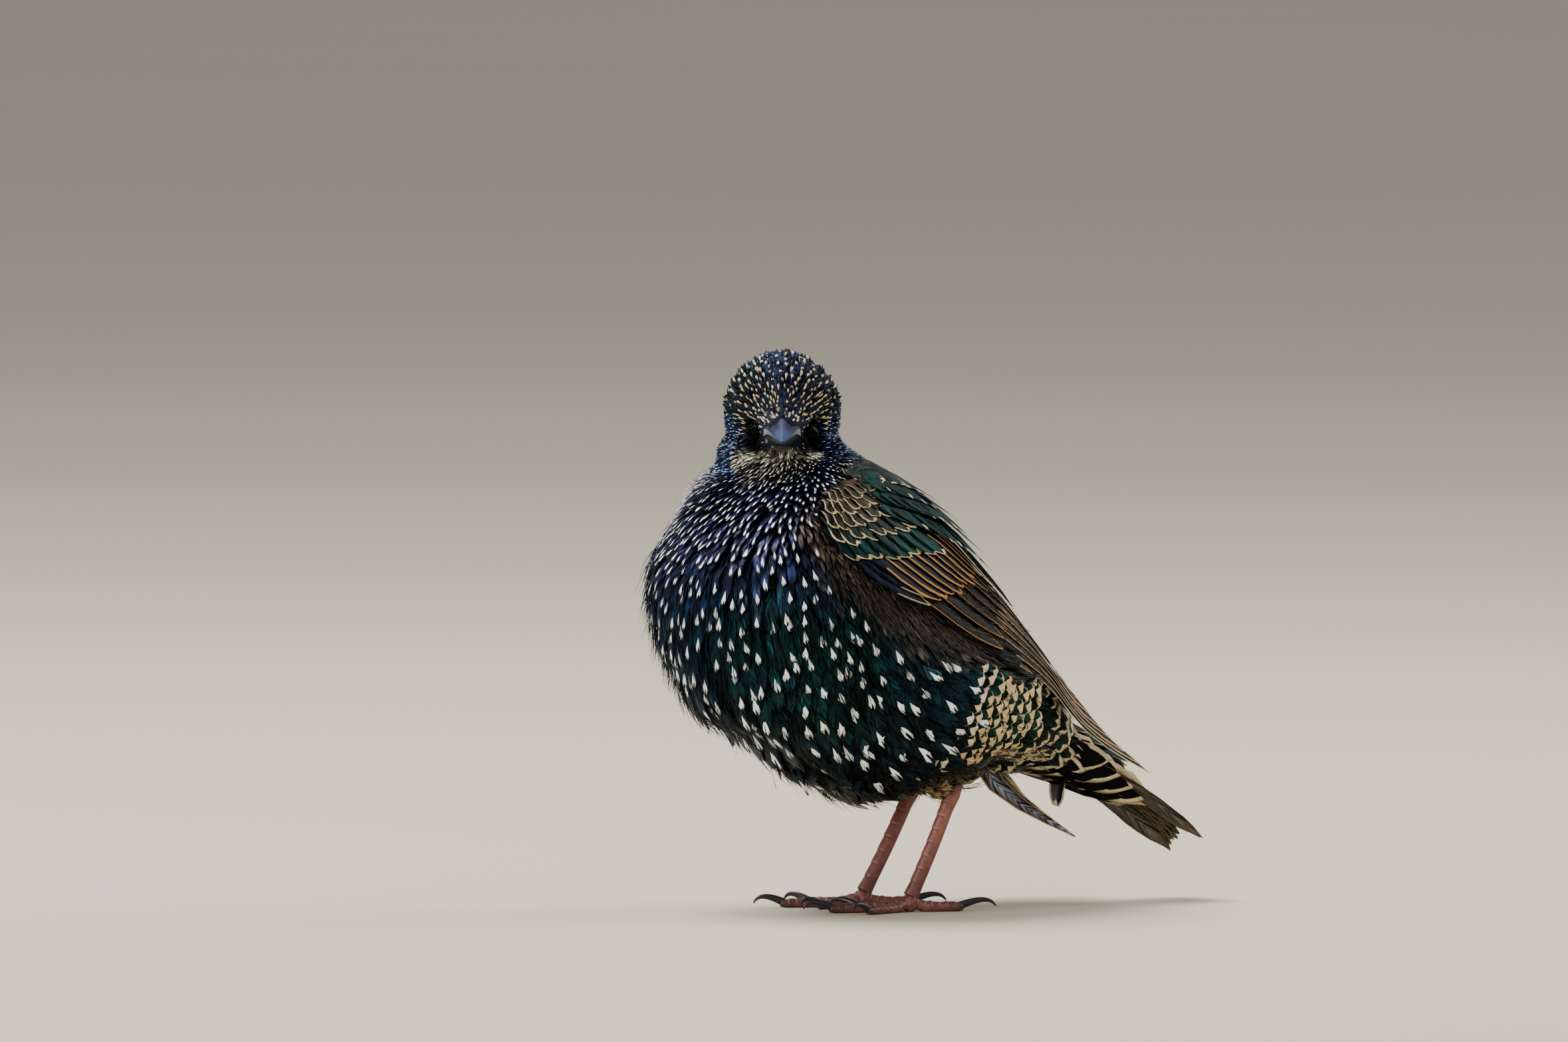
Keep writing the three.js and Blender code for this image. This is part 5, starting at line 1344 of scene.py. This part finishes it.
def leg_object(name, rings, edge, base, node, ends=(0.0, 0.0)):
    points, faces = closed_tube(rings)
    points[:, 2] = np.maximum(points[:, 2], 0.0)
    groove = smooth(edge, 0.16, 0.02).ravel()
    rim = smooth(edge, 0.75, 0.98).ravel()
    share = np.repeat(np.linspace(0, 1, len(rings)), rings.shape[1])
    tone = mixed(np.tile(base, (len(share), 1)), groove * 0.5, DUSK * 0.5)
    tone = mixed(tone, rim * 0.35, SCUTE_EDGE)
    tone = mixed(tone, ends[0] * (1 - share) ** 2 + ends[1] * share**2, DUSK)
    tone = np.concatenate([tone, tone[:1], tone[-1:]])
    obj = mesh_object(name, points, faces, scale_material)
    add_colours(obj, "Ground", np.concatenate([tone, np.ones((len(points), 1))], 1))
    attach(obj, "root")
    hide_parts(node)


for label, leg in LEG.items():
    f, l, z = leg["ankle"]
    ankle = np.array([l, -f, z]) + SHIFT
    f, l, z = leg["ball"]
    ball = np.array([l, -f, z]) + SHIFT
    share = np.linspace(-0.2, 0.97, 140)
    knob = np.maximum(0, 1 - np.abs(share + 0.02) * 7) + np.maximum(0, (share - 0.84) * 5) * 0.5
    bow = np.sin(np.pi * np.clip(share, 0, 1)) * 0.35
    line = ankle + (ball - ankle) * share[:, None] + np.array([0, 1, 0]) * bow[:, None]
    rings, edge = bent_tube(line, SHANK["deep"] + (SHANK["knob"] - SHANK["deep"]) * knob,
                            SHANK["wide"] + (SHANK["knob"] * 0.85 - SHANK["wide"]) * knob,
                            np.array([0.0, -1.0, 0.0]), SHANK["scutes"], 0.22)
    leg_object(f"scutes_shank_{label}", rings, edge, REDDISH, f"shank_{label}", (0.1, 0.6))
    turns, lat = np.linspace(0, 2 * np.pi, 32, endpoint=False), np.linspace(0.05, math.pi - 0.05, 22)
    pad = np.stack([np.outer(np.sin(lat), np.cos(turns)) * 2.35, np.outer(np.sin(lat), np.sin(turns)) * 2.35,
                    np.outer(np.cos(lat), np.ones(32)) * 2.3 + 2.2], -1)
    pad = pad * (1 + 0.05 * np.sin(turns * 5 + lat[:, None] * 6))[..., None] + [ball[0], ball[1], 0]
    pad[..., 2] = np.maximum(pad[..., 2] * 1.0, 0)
    leg_object(f"pad_foot_{label}", pad, np.full(pad.shape[:2], 0.5), REDDISH * 0.6 + DUSK * 0.4, f"foot_{label}")
    for toe, turn_by, length, thick, claw_long, scutes in TOES:
        turn = math.radians(leg["side"] * turn_by + FEET_TURN)
        way = np.array([math.sin(turn), -math.cos(turn), 0.0])
        u = np.linspace(0, 1, 90)
        swell = np.interp(u, [0, 0.2, 0.38, 0.55, 0.72, 0.9, 1.0], [1, 0.92, 1.12, 0.9, 1.08, 0.98, 0.72])
        girth = thick * (1.08 - 0.24 * u) * swell
        line = np.array([ball[0], ball[1], 0]) + way * (length * u)[:, None]
        line[:, 2] = np.interp(u * 3.2, [0, 1], [leg["ball"][2] * 0.85, thick * 0.78])
        rings, edge = bent_tube(line, girth, girth, np.array([0.0, 0.0, 1.0]) * np.ones(3), scutes, 0.2)
        leg_object(f"scutes_{toe}_{label}", rings, edge, REDDISH * 0.55 + DUSK * 0.45, f"toe_{toe}_{label}", (0.0, 0.7))
        v = np.linspace(0, 1, 40)
        forward = (claw_long + CLAW["sunk"]) * np.sin(v * 1.35) / math.sin(1.35) - CLAW["sunk"]
        nail = line[-1] + way * forward[:, None]
        nail[:, 2] = thick * 0.72 + 0.35 + CLAW["arch"] * np.sin(v * 2.6) * 0.9 - v * v * 1.1
        slim = CLAW["root"] + (CLAW["tip"] - CLAW["root"]) * v**1.1
        rings, _ = bent_tube(nail, slim, slim * 0.68, np.array([0.0, 0.0, 1.0]), 1, 0.0, 16)
        points, faces = closed_tube(rings)
        points[:, 2] = np.maximum(points[:, 2], 0.0)
        nail = mesh_object(f"horn_claw_{toe}_{label}", points, faces, claw_material)
        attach(nail, "root")
        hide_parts(f"claw_{toe}_{label}")

# Floor and light. A wide pale floor that fills the view to its top, a big soft light above and a
# broad fill.
FLOOR = {"half": 16.0}
SOFT_LIGHTS = (
    ("light_above", (-0.6, -0.6, 2.0), 1.2, 56.0),
    ("light_front", (1.6, -2.2, 0.9), 1.4, 36.0),
    ("light_side", (0.2, 1.5, 1.1), 1.0, 14.0),
)
floor_points = np.array([[x, y, 0.0] for x, y in ((-1, -1), (1, -1), (1, 1), (-1, 1))]) * FLOOR["half"] * 1000
floor_faces = np.array([[0, 1, 2], [0, 2, 3]])
floor_material, tree, shader = new_material("floor_pale")
grain = add_node(tree, "ShaderNodeTexNoise", {"Scale": 30.0, "Detail": 4.0})
tone = blend(tree, grain.outputs[0], (0.50, 0.45, 0.34, 1.0), (0.54, 0.49, 0.38, 1.0))
tree.links.new(tone, shader.inputs["Base Color"])
shader.inputs["Roughness"].default_value = 0.8
floor = mesh_object("floor", floor_points, floor_faces, floor_material)
for name, place, size, power in SOFT_LIGHTS:
    light = bpy.data.lights.new(name, "AREA")
    light.size = size
    light.energy = power
    lamp = bpy.data.objects.new(name, light)
    lamp.location = place
    lamp.rotation_euler = (Vector((0, 0, 0.07)) - Vector(place)).to_track_quat("-Z", "Y").to_euler()
    bpy.context.scene.collection.objects.link(lamp)
world = bpy.data.worlds.new("studio")
world.use_nodes = True
world.node_tree.nodes["Background"].inputs[0].default_value = (0.90, 0.92, 0.96, 1.0)
world.node_tree.nodes["Background"].inputs[1].default_value = 0.5
bpy.context.scene.world = world
bpy.context.scene.view_settings.view_transform = "AgX"
bpy.context.scene.view_settings.look = "AgX - Medium High Contrast"
